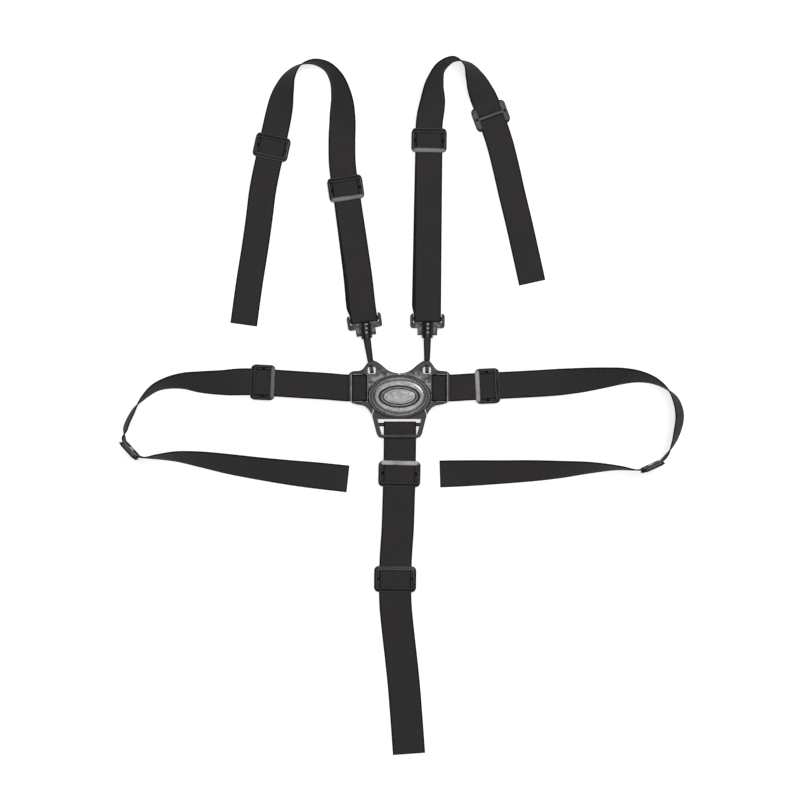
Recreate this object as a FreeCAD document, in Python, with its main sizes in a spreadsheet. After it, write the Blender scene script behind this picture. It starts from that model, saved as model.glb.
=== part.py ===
import FreeCAD, Part
import math
import os

import Sketcher

# A five-point child harness laid out flat, front side up, in millimetres.
# The origin is the centre of the buckle's back face on the surface below it,
# +X is the wearer's left, +Y runs towards the shoulder straps and +Z is up.

V = FreeCAD.Vector
UP = V(0, 0, 1)

DIMENSIONS = {
    "webbing_width": 25.0,
    "crotch_width": 30.0,
    "webbing_thick": 1.2,
    "play": 0.3,
    "settle_length": 14.0,
    # buckle housing: ovals are given by their half axes
    "shell_long": 29.2,
    "shell_short": 20.2,
    "cavity_long": 27.0,
    "cavity_short": 18.9,
    "mouth_long": 25.1,
    "mouth_short": 17.4,
    "back_thick": 2.6,
    "back_skirt": 0.25,
    "wall_top": 7.5,
    "lip_under": 9.8,
    "shell_top": 11.6,
    "shell_round": 1.3,
    "boss_radius": 3.0,
    "boss_top": 4.4,
    "side_mouth": 29.0,
    "side_mouth_deep": 20.0,
    "side_mouth_mid": 30.0,
    # release button
    "flange_long": 26.3,
    "flange_short": 18.4,
    "flange_under": 8.1,
    "flange_top": 9.4,
    "button_long": 24.7,
    "button_short": 17.0,
    "button_edge": 12.2,
    "button_top": 15.2,
    "dish_long": 19.2,
    "dish_short": 10.4,
    "dish_floor": 13.6,
    "badge_long": 15.6,
    "badge_short": 7.8,
    "badge_top": 14.9,
    "spring_radius": 4.4,
    "spring_wire": 0.4,
    "spring_turns": 5.0,
    "spring_seat": 11.0,
    "spring_well": 6.0,
    # ladders that hold the waist and crotch straps
    "ladder_low": 1.0,
    "ladder_top": 8.65,
    "ladder_bar_under": 6.65,
    "ladder_pin_height": 3.4,
    "ladder_pin_radius": 1.7,
    "crotch_pin_back": 25.95,
    "crotch_pin_half": 20.0,
    "crotch_slot": 31.2,
    "crotch_bar_back": 37.5,
    "crotch_bar_deep": 6.0,
    "ladder_round": 0.9,
    "ladder_side": 2.5,
    # wings
    "wing_gap": 0.3,
    "wing_under": 4.8,
    "wing_top": 9.2,
    "wing_pin_out": 32.5,
    "wing_window_in": 29.4,
    "wing_window_out": 43.0,
    "wing_strap_mid": 8.0,
    "wing_slot": 25.4,
    "tongue_under": 2.9,
    "tongue_top": 5.2,
    "tongue_tip": 9.0,
    "tongue_width": 21.0,
    "tongue_root": 29.2,
    "fork_long": 13.0,
    "fork_wide": 10.5,
    "root_bar": 3.6,
    "root_bar_mid": 27.4,
    "root_bar_long": 28.4,
    "rail_end": 43.8,
    "rail_wide": 1.7,
    "wing_round": 1.2,
    "window_round": 0.9,
    "eyelet_out": 25.6,
    "eyelet_up": 24.5,
    "eyelet_round": 1.8,
    "dent_depth": 1.5,
    # swivel hooks, measured along the hook from the eyelet
    "blade_width": 3.5,
    "shank_start": 6.0,
    "shank_end": 29.1,
    "shank_wide": 7.1,
    "shank_narrow": 5.5,
    "shank_deep": 5.4,
    "shank_thin": 4.2,
    "shank_low": 2.5,
    "stem_height": 5.8,
    "stem_radius": 2.6,
    "stem_end": 43.2,
    "head_radius": 3.4,
    "head_thick": 1.9,
    "barrel_start": 29.4,
    "barrel_end": 43.7,
    "barrel_radius": 5.1,
    "ridge_radius": 5.55,
    "ridge_width": 2.2,
    "ridge_first": 3.1,
    "ridge_pitch": 3.9,
    "collar_start": 32.3,
    "collar_half": 9.2,
    "loop_start": 38.7,
    "loop_half": 16.0,
    "loop_slot": 26.4,
    "loop_pin": 47.5,
    "loop_pin_radius": 2.0,
    "loop_height": 3.9,
    "loop_thick": 4.0,
    "loop_end": 52.2,
    "loop_corner": 2.6,
    # tri-glide sliders
    "slider_length": 22.4,
    "slider_rail": 3.4,
    "crotch_slider_length": 24.2,
    "crotch_slider_rail": 4.0,
    "slider_slot_extra": 1.2,
    "slider_bar": 4.2,
    "slider_mid_bar": 4.4,
    "slider_corner": 3.2,
    "slider_round": 0.7,
    "slider_foot": 0.3,
    "single_bar_low": 0.3,
    "single_bar_high": 1.9,
    "single_tunnel": 3.7,
    "single_top": 5.3,
    "bend_room": 0.5,
    "double_bar_low": 1.55,
    "double_bar_high": 3.05,
    "double_tunnel": 6.1,
    "double_top": 7.9,
    "end_low": 0.3,
    "end_reach": 9.0,
    "end_tail": 11.0,
}

# Strap routes: one row per station, chosen by hand and joined by a smooth curve.
# Each row is the middle of the strap in plan, how far it has turned over in degrees
# and how high its lowest edge is above the surface.
HOOK_LEAN = {"left": 8.5, "right": -0.5}
LEFT_SHOULDER = [
    (-32.6, 71.4, 0, 6.2), (-34.0, 80.8, 0, 5.75), (-37.2, 108.6, 0, 4.6),
    (-42.2, 143.2, 0, 4.6), (-46.7, 172.9, 0, 4.6), (-49.8, 193.6, 0, 4.6), (-52.5, 212.4, 0, 4.6), (-53.2, 236.0, 0, 2.4), (-52.7, 258.0, 14, 0.3),
    (-53.8, 278.0, 40, 0.1), (-58.4, 293.5, 60, 0.1), (-66.5, 303.8, 76, 0.1),
    (-80.0, 308.4, 90, 0.1), (-93.0, 304.8, 104, 0.1), (-101.6, 295.5, 122, 0.1),
    (-107.3, 281.5, 146, 0.1), (-111.0, 265.0, 170, 1.0), (-114.4, 249.0, 180, 2.2),
    (-118.3, 230.8, 180, 2.2), (-122.4, 212.5, 180, 2.2), (-126.3, 193.0, 180, 2.2),
    (-130.0, 165.0, 180, 1.0), (-134.2, 136.0, 180, 0.1), (-138.7, 108.0, 180, 0.1),
    (-144.4, 66.7, 180, 0.1),
]
RIGHT_SHOULDER = [
    (26.0, 71.9, 0, 6.2), (26.3, 105.0, 0, 4.6), (26.6, 143.0, 0, 4.6), (26.9, 178.0, 0, 4.6),
    (27.2, 210.0, 0, 4.6), (27.5, 237.0, 0, 4.6), (27.8, 254.0, 0, 4.6), (30.8, 272.0, 20, 1.6),
    (33.2, 290.0, 50, 0.1), (38.6, 303.6, 72, 0.1), (51.0, 311.0, 90, 0.1),
    (63.0, 306.0, 112, 0.1), (69.8, 295.0, 138, 0.1), (75.0, 283.0, 163, 1.4),
    (79.6, 273.0, 180, 2.2), (87.6, 251.5, 180, 2.2), (93.6, 232.9, 180, 2.2),
    (98.6, 213.0, 180, 2.2), (104.4, 188.0, 180, 1.0), (110.4, 163.4, 180, 0.1),
    (116.8, 135.0, 180, 0.1), (123.3, 105.6, 180, 0.1),
]
LEFT_WAIST = [
    (-32.5, 8.0, 0, 5.15), (-49.0, 8.0, 0, 4.8), (-66.0, 9.4, 0, 4.6), (-92.0, 11.0, 0, 4.6),
    (-126.3, 13.1, 0, 4.6), (-142.0, 13.7, 0, 4.6), (-163.0, 12.9, 22, 1.2),
    (-184.6, 13.4, 39, 0.1), (-199.0, 14.3, 54, 0.1), (-212.4, 12.6, 66, 0.1),
    (-224.0, 8.6, 76, 0.1), (-236.0, -1.4, 88, 0.1), (-246.4, -16.0, 104, 0.6),
    (-252.2, -29.5, 106, 1.6), (-253.4, -38.5, 92, 3.6), (-248.4, -49.5, 92, 3.6),
    (-236.5, -56.0, 92, 3.6), (-222.0, -55.6, 101, 1.2), (-206.0, -55.4, 113, 0.1),
    (-184.6, -57.9, 126.5, 0.1), (-156.8, -62.5, 140, 0.1), (-129.0, -66.7, 149, 0.1),
    (-101.3, -70.4, 160, 0.1), (-72.0, -73.7, 174, 0.1), (-47.6, -76.4, 180, 0.1),
]
RIGHT_WAIST = [
    (32.5, 8.0, 0, 5.15), (49.0, 8.0, 0, 4.7), (64.0, 8.9, 0, 4.6), (81.4, 9.7, 0, 4.6),
    (108.0, 11.0, 0, 4.6), (130.0, 12.2, 0, 4.6), (162.6, 14.6, 20, 0.8), (190.4, 17.4, 42, 0.1),
    (206.0, 18.8, 54, 0.1), (220.0, 18.4, 66, 0.1), (234.5, 14.6, 79, 0.1),
    (246.5, 7.0, 93, 0.1), (255.3, -4.4, 110, 0.1), (258.5, -17.4, 115, 0.1),
    (256.4, -31.0, 112, 0.6), (251.0, -45.4, 102, 2.0), (244.6, -55.6, 92, 3.6),
    (232.8, -64.9, 92, 3.6), (218.6, -67.6, 92, 3.6), (204.3, -66.0, 98, 0.8),
    (176.5, -65.7, 115.5, 0.1), (148.8, -67.4, 131, 0.1), (121.0, -68.7, 144, 0.1),
    (93.2, -69.9, 153, 0.1), (65.4, -70.9, 166, 0.1), (37.6, -71.8, 180, 0.1),
]
CROTCH = [
    (0.5, -25.95, 0, 5.15), (0.5, -46.0, 0, 4.7), (0.0, -72.0, 0, 4.6), (-0.7, -98.0, 0, 4.6),
    (-1.6, -124.0, 0, 4.0), (-3.2, -148.0, 0, 2.2), (-3.9, -169.0, 0, 2.2), (-3.6, -192.0, 0, 2.2),
    (-1.4, -216.0, 0, 0.8), (1.5, -242.0, 0, 0.1), (4.2, -268.0, 0, 0.1), (6.5, -297.0, 0, 0.1),
    (9.0, -331.5, 0, 0.1),
]
SECTION_STEP = 7.0
SPRING_STEPS = 16
SPRING_SIDES = 8
SPRING_ROOM = 0.05
NEAR = 0.01

document = FreeCAD.newDocument("harness")


def make_sheet():
    sheet = document.addObject("Spreadsheet::Sheet", "dimensions")
    for row, (alias, value) in enumerate(DIMENSIONS.items(), 1):
        sheet.set(f"A{row}", alias)
        sheet.set(f"B{row}", str(value))
        sheet.setAlias(f"B{row}", alias)
    document.recompute()
    return sheet


sheet = make_sheet()


def size(alias):
    return float(sheet.get(alias))


def cell(alias):
    return "dimensions." + alias


# ---------------------------------------------------------------- strap curves


def knot_slopes(stations, values, steady):
    """The curve's slope at each row. A steady column never swings past its rows."""
    gaps = [b - a for a, b in zip(stations, stations[1:])]
    rates = [(b - a) / gap for a, b, gap in zip(values, values[1:], gaps)]
    slopes = [rates[0]]
    for before, after, gap, next_gap in zip(rates, rates[1:], gaps, gaps[1:]):
        if not steady:
            slopes.append((before * next_gap + after * gap) / (gap + next_gap))
        elif before * after <= 0:
            slopes.append(0.0)
        else:
            slopes.append(2 * before * after / (before + after))
    return slopes + [rates[-1]]


class Route:
    """A strap's centre line in space, with the direction across its width."""

    def __init__(self, rows, outer_side, width):
        self.width = width
        self.outer_side = outer_side
        self.stations = [0.0]
        for a, b in zip(rows, rows[1:]):
            self.stations.append(self.stations[-1] + math.dist(a[:2], b[:2]))
        self.columns = list(zip(*rows))
        self.slopes = [knot_slopes(self.stations, c, n > 1) for n, c in enumerate(self.columns)]
        self.length = self.stations[-1]

    def value(self, column, station):
        last = len(self.stations) - 2
        k = max(n for n in range(last + 1) if n == 0 or self.stations[n] <= station)
        gap = self.stations[k + 1] - self.stations[k]
        u = (station - self.stations[k]) / gap
        a, b = self.columns[column][k], self.columns[column][k + 1]
        p, q = self.slopes[column][k] * gap, self.slopes[column][k + 1] * gap
        return a + u * p + u * u * (3 * (b - a) - 2 * p - q) + u ** 3 * (2 * (a - b) + p + q)

    def along(self, station):
        """The direction of travel in plan."""
        ahead = min(station + 0.5, self.length)
        behind = max(station - 0.5, 0.0)
        step = [self.value(c, ahead) - self.value(c, behind) for c in (0, 1)]
        return V(step[0], step[1], 0).normalize()

    def across(self, station):
        """The direction from the strap's middle to the edge that lifts as it turns over."""
        ahead = self.along(station)
        out = V(ahead.y, -ahead.x, 0) * self.outer_side
        turn = math.radians(self.value(2, station))
        return out * math.cos(turn) + UP * math.sin(turn)

    def centre(self, station):
        turn = math.radians(self.value(2, station))
        height = self.value(3, station) + abs(math.sin(turn)) * self.width / 2
        height += abs(math.cos(turn)) * size("webbing_thick") / 2
        return V(self.value(0, station), self.value(1, station), height)


ROUTES = {
    "left_shoulder": Route(LEFT_SHOULDER, 1, size("webbing_width")),
    "right_shoulder": Route(RIGHT_SHOULDER, -1, size("webbing_width")),
    "left_waist": Route(LEFT_WAIST, 1, size("webbing_width")),
    "right_waist": Route(RIGHT_WAIST, -1, size("webbing_width")),
    "crotch": Route(CROTCH, 1, size("crotch_width")),
}


def section(centre, across, normal, width):
    side = across * (width / 2)
    rise = normal * (size("webbing_thick") / 2)
    corners = [centre - side - rise, centre + side - rise, centre + side + rise, centre - side + rise]
    return Part.makePolygon(corners + corners[:1])


def strap_section(route, station):
    across = route.across(station)
    ahead = route.centre(min(station + 0.5, route.length))
    behind = route.centre(max(station - 0.5, 0.0))
    normal = (ahead - behind).cross(across).normalize()
    if station == 0:
        normal = UP
    return section(route.centre(station), across, normal, route.width)


def turn_round_pin(route, pin_height, inner_radius):
    """The half turn of webbing on the far side of a pin that the strap leaves from."""
    start = V(route.value(0, 0), route.value(1, 0), pin_height)
    ahead = route.along(0)
    out = V(ahead.y, -ahead.x, 0)
    low = start - out * (route.width / 2)
    inner, outer = inner_radius, inner_radius + size("webbing_thick")
    wire = Part.Wire([
        Part.makeLine(low + UP * inner, low + UP * outer),
        Part.Arc(low + UP * outer, low - ahead * outer, low - UP * outer).toShape(),
        Part.makeLine(low - UP * outer, low - UP * inner),
        Part.Arc(low - UP * inner, low - ahead * inner, low + UP * inner).toShape(),
    ])
    return Part.Face(wire).extrude(out * route.width)


def make_strap(label, route, pin_height, inner_radius):
    count = math.ceil(route.length / SECTION_STEP)
    stations = [route.length * n / count for n in range(count + 1)]
    ribbon = Part.makeLoft([strap_section(route, s) for s in stations], True, True)
    strap = document.addObject("Part::Feature", label)
    strap.Shape = ribbon.fuse(turn_round_pin(route, pin_height, inner_radius))
    strap.Label = label


def layer_shift(station, reach, shifts):
    """How far the lower layer stands out sideways: at the pin, soon after it, at the slider."""
    at_pin, soon, at_slider = shifts
    settle = size("settle_length")
    if station < settle:
        return at_pin + (soon - at_pin) * math.sin(math.pi / 2 * station / settle)
    return soon + (at_slider - soon) * (station - settle) / (reach - settle)


def make_return(label, route, pin_height, inner_radius, slider_station, shifts):
    """The lower layer, from the pin back to the strap's end inside the first slider."""
    low = pin_height - inner_radius - size("webbing_thick") / 2
    end_low = size("end_low") + size("webbing_thick") / 2
    reach = slider_station - size("end_reach") - 2 * size("play")
    steps = 12
    wires = []
    for n in range(steps + 1):
        station = reach * n / steps
        across = route.across(station)
        at = route.centre(station) + across * layer_shift(station, reach, shifts)
        at.z = low + (end_low - low) * n / steps
        wires.append(section(at, across, UP, route.width))
    layer = document.addObject("Part::Feature", label)
    layer.Shape = Part.makeLoft(wires, True, True)
    layer.Label = label


# ------------------------------------------------------------- body building


def new_body(label):
    body = document.addObject("PartDesign::Body", label)
    body.Label = label
    return body


def new_sketch(body, name, plane, offset):
    """A sketch on one of the body's origin planes, moved along its normal by offset."""
    sketch = body.newObject("Sketcher::SketchObject", f"{body.Label}_{name}")
    planes = [f for f in body.Origin.OriginFeatures if f.Role == plane]
    sketch.AttachmentSupport = (planes[0], "")
    sketch.MapMode = "FlatFace"
    sketch.setExpression("AttachmentOffset.Base.z", offset)
    return sketch


def rectangle(sketch, wide, tall, x="0", y="0"):
    """A rectangle whose centre and sides are expressions of the sheet."""
    corners = [V(-1, -1, 0), V(1, -1, 0), V(1, 1, 0), V(-1, 1, 0)]
    first = sketch.GeometryCount
    for a, b in zip(corners, corners[1:] + corners[:1]):
        sketch.addGeometry(Part.LineSegment(a, b), False)
    for n in range(4):
        sketch.addConstraint(Sketcher.Constraint("Coincident", first + n, 2, first + (n + 1) % 4, 1))
        kind = "Horizontal" if n % 2 == 0 else "Vertical"
        sketch.addConstraint(Sketcher.Constraint(kind, first + n))
    bounds = [("DistanceX", 2, f"({x}) + ({wide}) / 2"), ("DistanceY", 2, f"({y}) + ({tall}) / 2")]
    lows = [("DistanceX", 0, f"({x}) - ({wide}) / 2"), ("DistanceY", 0, f"({y}) - ({tall}) / 2")]
    for kind, line, expression in bounds + lows:
        index = sketch.addConstraint(Sketcher.Constraint(kind, first + line, 1, 1.0))
        sketch.setExpression(f"Constraints[{index}]", expression)


def circle(sketch, radius, x="0", y="0"):
    ring = sketch.addGeometry(Part.Circle(V(0, 0, 0), UP, 1), False)
    index = sketch.addConstraint(Sketcher.Constraint("Radius", ring, 1.0))
    sketch.setExpression(f"Constraints[{index}]", radius)
    for kind, place in (("DistanceX", x), ("DistanceY", y)):
        index = sketch.addConstraint(Sketcher.Constraint(kind, ring, 3, 1.0))
        sketch.setExpression(f"Constraints[{index}]", place)


def rounded(sketch, low, high, radius):
    """A rounded rectangle between two corners."""
    (x0, y0), (x1, y1), r = low, high, radius
    sides = [((x0 + r, y0), (x1 - r, y0)), ((x1, y0 + r), (x1, y1 - r)),
             ((x1 - r, y1), (x0 + r, y1)), ((x0, y1 - r), (x0, y0 + r))]
    middles = [(x1 - r, y0 + r), (x1 - r, y1 - r), (x0 + r, y1 - r), (x0 + r, y0 + r)]
    for n, (a, b) in enumerate(sides):
        sketch.addGeometry(Part.LineSegment(V(*a, 0), V(*b, 0)), False)
        turn = math.radians(90 * n - 45)
        middle = V(*middles[n], 0) + V(math.cos(turn), math.sin(turn), 0) * r
        following = V(*sides[(n + 1) % 4][0], 0)
        sketch.addGeometry(Part.Arc(V(*b, 0), middle, following), False)


def oval(sketch, long, short):
    sketch.addGeometry(Part.Ellipse(V(0, 0, 0), long, short), False)


def pad(body, name, sketch, length, reverse=False):
    feature = body.newObject("PartDesign::Pad", f"{body.Label}_{name}")
    feature.Profile = sketch
    feature.setExpression("Length", length)
    feature.Reversed = reverse


def pocket(body, name, sketch, length=None, reverse=False):
    feature = body.newObject("PartDesign::Pocket", f"{body.Label}_{name}")
    feature.Profile = sketch
    if length is None:
        feature.Type = "ThroughAll"
    else:
        feature.setExpression("Length", length)
    feature.Reversed = reverse


def block(body, name, wide, tall, low, high, x="0", y="0"):
    """A padded rectangle between two heights."""
    sketch = new_sketch(body, f"{name}_outline", "XY_Plane", low)
    rectangle(sketch, wide, tall, x, y)
    pad(body, name, sketch, f"({high}) - ({low})")


def cut_down(body, name, wide, tall, start, x="0", y="0"):
    """A rectangular pocket from a height down through everything."""
    sketch = new_sketch(body, f"{name}_outline", "XY_Plane", start)
    rectangle(sketch, wide, tall, x, y)
    pocket(body, name, sketch)


def round_edges(body, name, radius, chosen):
    """Rounds the edges of the body's tip that the test picks."""
    document.recompute()
    tip = body.Tip
    names = [f"Edge{n}" for n, e in enumerate(tip.Shape.Edges, 1) if chosen(e)]
    feature = body.newObject("PartDesign::Fillet", f"{body.Label}_{name}")
    feature.Base = (tip, names)
    feature.setExpression("Radius", radius)


def at_height(edge, height):
    return all(abs(v.Z - height) < NEAR for v in edge.Vertexes)


def upright(edge):
    box = edge.BoundBox
    return box.XLength < NEAR and box.YLength < NEAR and box.ZLength > 0.5


# ------------------------------------------------------------------- buckle


# The crotch ladder seen from the front: its outline, and the window for the strap.
LADDER_OUTLINE = [(-22.9, -11.0), (-24.4, -14.8), (-25.2, -17.8), (-20.9, -34.6), (-19.2, -37.4),
                  (-16.6, -38.4), (16.6, -38.4), (19.2, -37.4), (20.9, -34.6), (25.2, -17.8),
                  (24.4, -14.8), (22.9, -11.0)]
LADDER_WINDOW = [(-20.2, -20.9), (-16.3, -35.2), (16.3, -35.2), (20.2, -20.9)]


def make_back_cover():
    body = new_body("back_cover")
    base = new_sketch(body, "base", "XY_Plane", "0")
    oval(base, size("shell_long") + size("back_skirt"), size("shell_short") + size("back_skirt"))
    pad(body, "floor", base, cell("back_thick"))
    wall = new_sketch(body, "wall", "XY_Plane", "1")
    oval(wall, size("shell_long"), size("shell_short"))
    pad(body, "walls", wall, f"{cell('wall_top')} - 1")
    frame = new_sketch(body, "frame", "XY_Plane", cell("ladder_low"))
    polygon(frame, LADDER_OUTLINE)
    pad(body, "ladder", frame, f"{cell('ladder_top')} - {cell('ladder_low')}")
    cavity = new_sketch(body, "cavity", "XY_Plane", cell("back_thick"))
    oval(cavity, size("cavity_long"), size("cavity_short"))
    pocket(body, "hollow", cavity, reverse=True)
    seat = new_sketch(body, "seat", "XY_Plane", cell("wall_top"))
    oval(seat, size("shell_long") + size("play"), size("shell_short") + size("play"))
    pocket(body, "shell_seat", seat, reverse=True)
    for side, name in ((-1, "left"), (1, "right")):
        mouth = new_sketch(body, f"{name}_mouth", "XY_Plane", cell("back_thick"))
        middle = f"{side} * {cell('side_mouth_mid')}"
        rectangle(mouth, cell("side_mouth_deep"), cell("side_mouth"), middle)
        pocket(body, f"{name}_opening", mouth, reverse=True)
    window = new_sketch(body, "window", "XY_Plane", "0")
    polygon(window, LADDER_WINDOW)
    pocket(body, "strap_window", window, reverse=True)
    cut_down(body, "strap_tunnel", cell("crotch_slot"), cell("crotch_bar_deep"),
             cell("ladder_bar_under"), "0", "-" + cell("crotch_bar_back"))
    pin = new_sketch(body, "pin_end", "YZ_Plane", "-" + cell("crotch_pin_half"))
    circle(pin, cell("ladder_pin_radius"), "-" + cell("crotch_pin_back"), cell("ladder_pin_height"))
    pad(body, "pin", pin, "2 * " + cell("crotch_pin_half"))
    boss = new_sketch(body, "boss", "XY_Plane", "1")
    circle(boss, cell("boss_radius"))
    pad(body, "spring_boss", boss, f"{cell('boss_top')} - 1")
    round_edges(body, "ladder_round", cell("ladder_round"), is_ladder_rim)


def is_ladder_rim(edge):
    """True on the ladder's outer top edges, away from its window and from the housing."""
    (near_x, near_y), (far_x, far_y) = LADDER_OUTLINE[2:4]
    if not at_height(edge, size("ladder_top")) or edge.BoundBox.YMax > near_y + size("play"):
        return False
    middle = edge.BoundBox.Center
    outline_x = abs(near_x) - (near_y - middle.y) * (near_x - far_x) / (far_y - near_y)
    return middle.y < LADDER_OUTLINE[4][1] or abs(middle.x) > outline_x - size("ladder_side")


def polygon(sketch, points):
    for a, b in zip(points, points[1:] + points[:1]):
        sketch.addGeometry(Part.LineSegment(V(*a, 0), V(*b, 0)), False)


def make_front_shell():
    body = new_body("front_shell")
    outline = new_sketch(body, "outline", "XY_Plane", cell("wall_top"))
    oval(outline, size("shell_long"), size("shell_short"))
    pad(body, "ring", outline, f"{cell('shell_top')} - {cell('wall_top')}")
    cavity = new_sketch(body, "cavity", "XY_Plane", cell("lip_under"))
    oval(cavity, size("cavity_long"), size("cavity_short"))
    pocket(body, "hollow", cavity)
    mouth = new_sketch(body, "mouth", "XY_Plane", cell("shell_top"))
    oval(mouth, size("mouth_long"), size("mouth_short"))
    pocket(body, "opening", mouth)

    def is_rim(edge):
        reach = edge.BoundBox.XMax - size("shell_long")
        return at_height(edge, size("shell_top")) and abs(reach) < NEAR

    round_edges(body, "rim_round", cell("shell_round"), is_rim)


def loft_of_ovals(body, name, ovals, kind="PartDesign::AdditiveLoft"):
    """A loft through ovals, each given as half axes and a height."""
    sketches = []
    for n, (long, short, height) in enumerate(ovals):
        sketch = new_sketch(body, f"{name}_{n}", "XY_Plane", str(height))
        oval(sketch, long, short)
        sketches.append(sketch)
    feature = body.newObject(kind, f"{body.Label}_{name}")
    feature.Profile = sketches[0]
    feature.Sections = sketches[1:]


def make_button():
    body = new_body("release_button")
    flange = new_sketch(body, "flange", "XY_Plane", cell("flange_under"))
    oval(flange, size("flange_long"), size("flange_short"))
    pad(body, "flange_plate", flange, f"{cell('flange_top')} - {cell('flange_under')}")
    long, short = size("button_long"), size("button_short")
    wall = new_sketch(body, "wall", "XY_Plane", cell("flange_top"))
    oval(wall, long, short)
    pad(body, "plunger", wall, f"{cell('button_edge')} - {cell('flange_top')}")
    edge, top = size("button_edge"), size("button_top")
    rise = top - edge
    loft_of_ovals(body, "dome", [
        (long, short, edge), (long * 0.985, short * 0.978, edge + rise * 0.5),
        (long * 0.945, short * 0.92, edge + rise * 0.8), (long * 0.8, short * 0.74, top),
    ])
    loft_of_ovals(body, "dish", [
        (size("dish_long"), size("dish_short"), top),
        (size("badge_long") + 1.2, size("badge_short") + 0.9, size("dish_floor")),
    ], "PartDesign::SubtractiveLoft")
    well = new_sketch(body, "well", "XY_Plane", cell("spring_seat"))
    circle(well, cell("spring_well"))
    pocket(body, "spring_well", well)


def make_badge():
    body = new_body("button_badge")
    long, short = size("badge_long"), size("badge_short")
    floor, top = size("dish_floor"), size("badge_top")
    rise = top - floor
    loft_of_ovals(body, "oval", [
        (long, short, floor), (long * 0.98, short * 0.96, floor + rise * 0.45),
        (long * 0.9, short * 0.85, floor + rise * 0.85), (long * 0.75, short * 0.66, top),
    ])


def make_spring():
    """A coil of wire between the back cover and the roof of the button's well."""
    wire, radius = size("spring_wire"), size("spring_radius")
    low = size("back_thick") + wire + SPRING_ROOM
    high = size("spring_seat") - wire - SPRING_ROOM
    count = round(size("spring_turns") * SPRING_STEPS)
    corners = [2 * math.pi * n / SPRING_SIDES for n in range(SPRING_SIDES)]
    wires = []
    for n in range(count + 1):
        angle = 2 * math.pi * n / SPRING_STEPS
        out = V(math.cos(angle), math.sin(angle), 0)
        middle = out * radius + UP * (low + (high - low) * n / count)
        points = [middle + out * (wire * math.cos(c)) + UP * (wire * math.sin(c)) for c in corners]
        wires.append(Part.makePolygon(points + points[:1]))
    coil = document.addObject("Part::Feature", "button_spring")
    coil.Shape = Part.makeLoft(wires, True, True)
    coil.Label = "button_spring"


# -------------------------------------------------------------------- wings

LOBE = [(0.4, 21.5), (5.5, 22.3), (11.7, 25.2), (16.4, 29.2), (21.2, 32.4), (25.0, 33.5),
        (28.8, 31.8), (31.8, 28.0), (34.8, 24.7), (39.0, 23.7), (43.6, 23.2), (46.5, 21.0)]
SKIRT = [(46.5, -3.2), (43.6, -5.6), (40.6, -7.0), (34.6, -8.2), (30.4, -10.2), (27.6, -13.6),
         (25.6, -16.9)]
SHORTEST_RIM = (20, 30)
EYELET_CORNERS = (21.8, 20.9), (29.2, 27.3)
EYELET_DENT = [(15.0, 24.0), (18.4, 21.7), (22.0, 20.9), (22.0, 27.2), (18.4, 26.0)]


def smooth_line(sketch, points):
    curve = Part.BSplineCurve()
    curve.interpolate([V(*p, 0) for p in points])
    sketch.addGeometry(curve, False)


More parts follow.
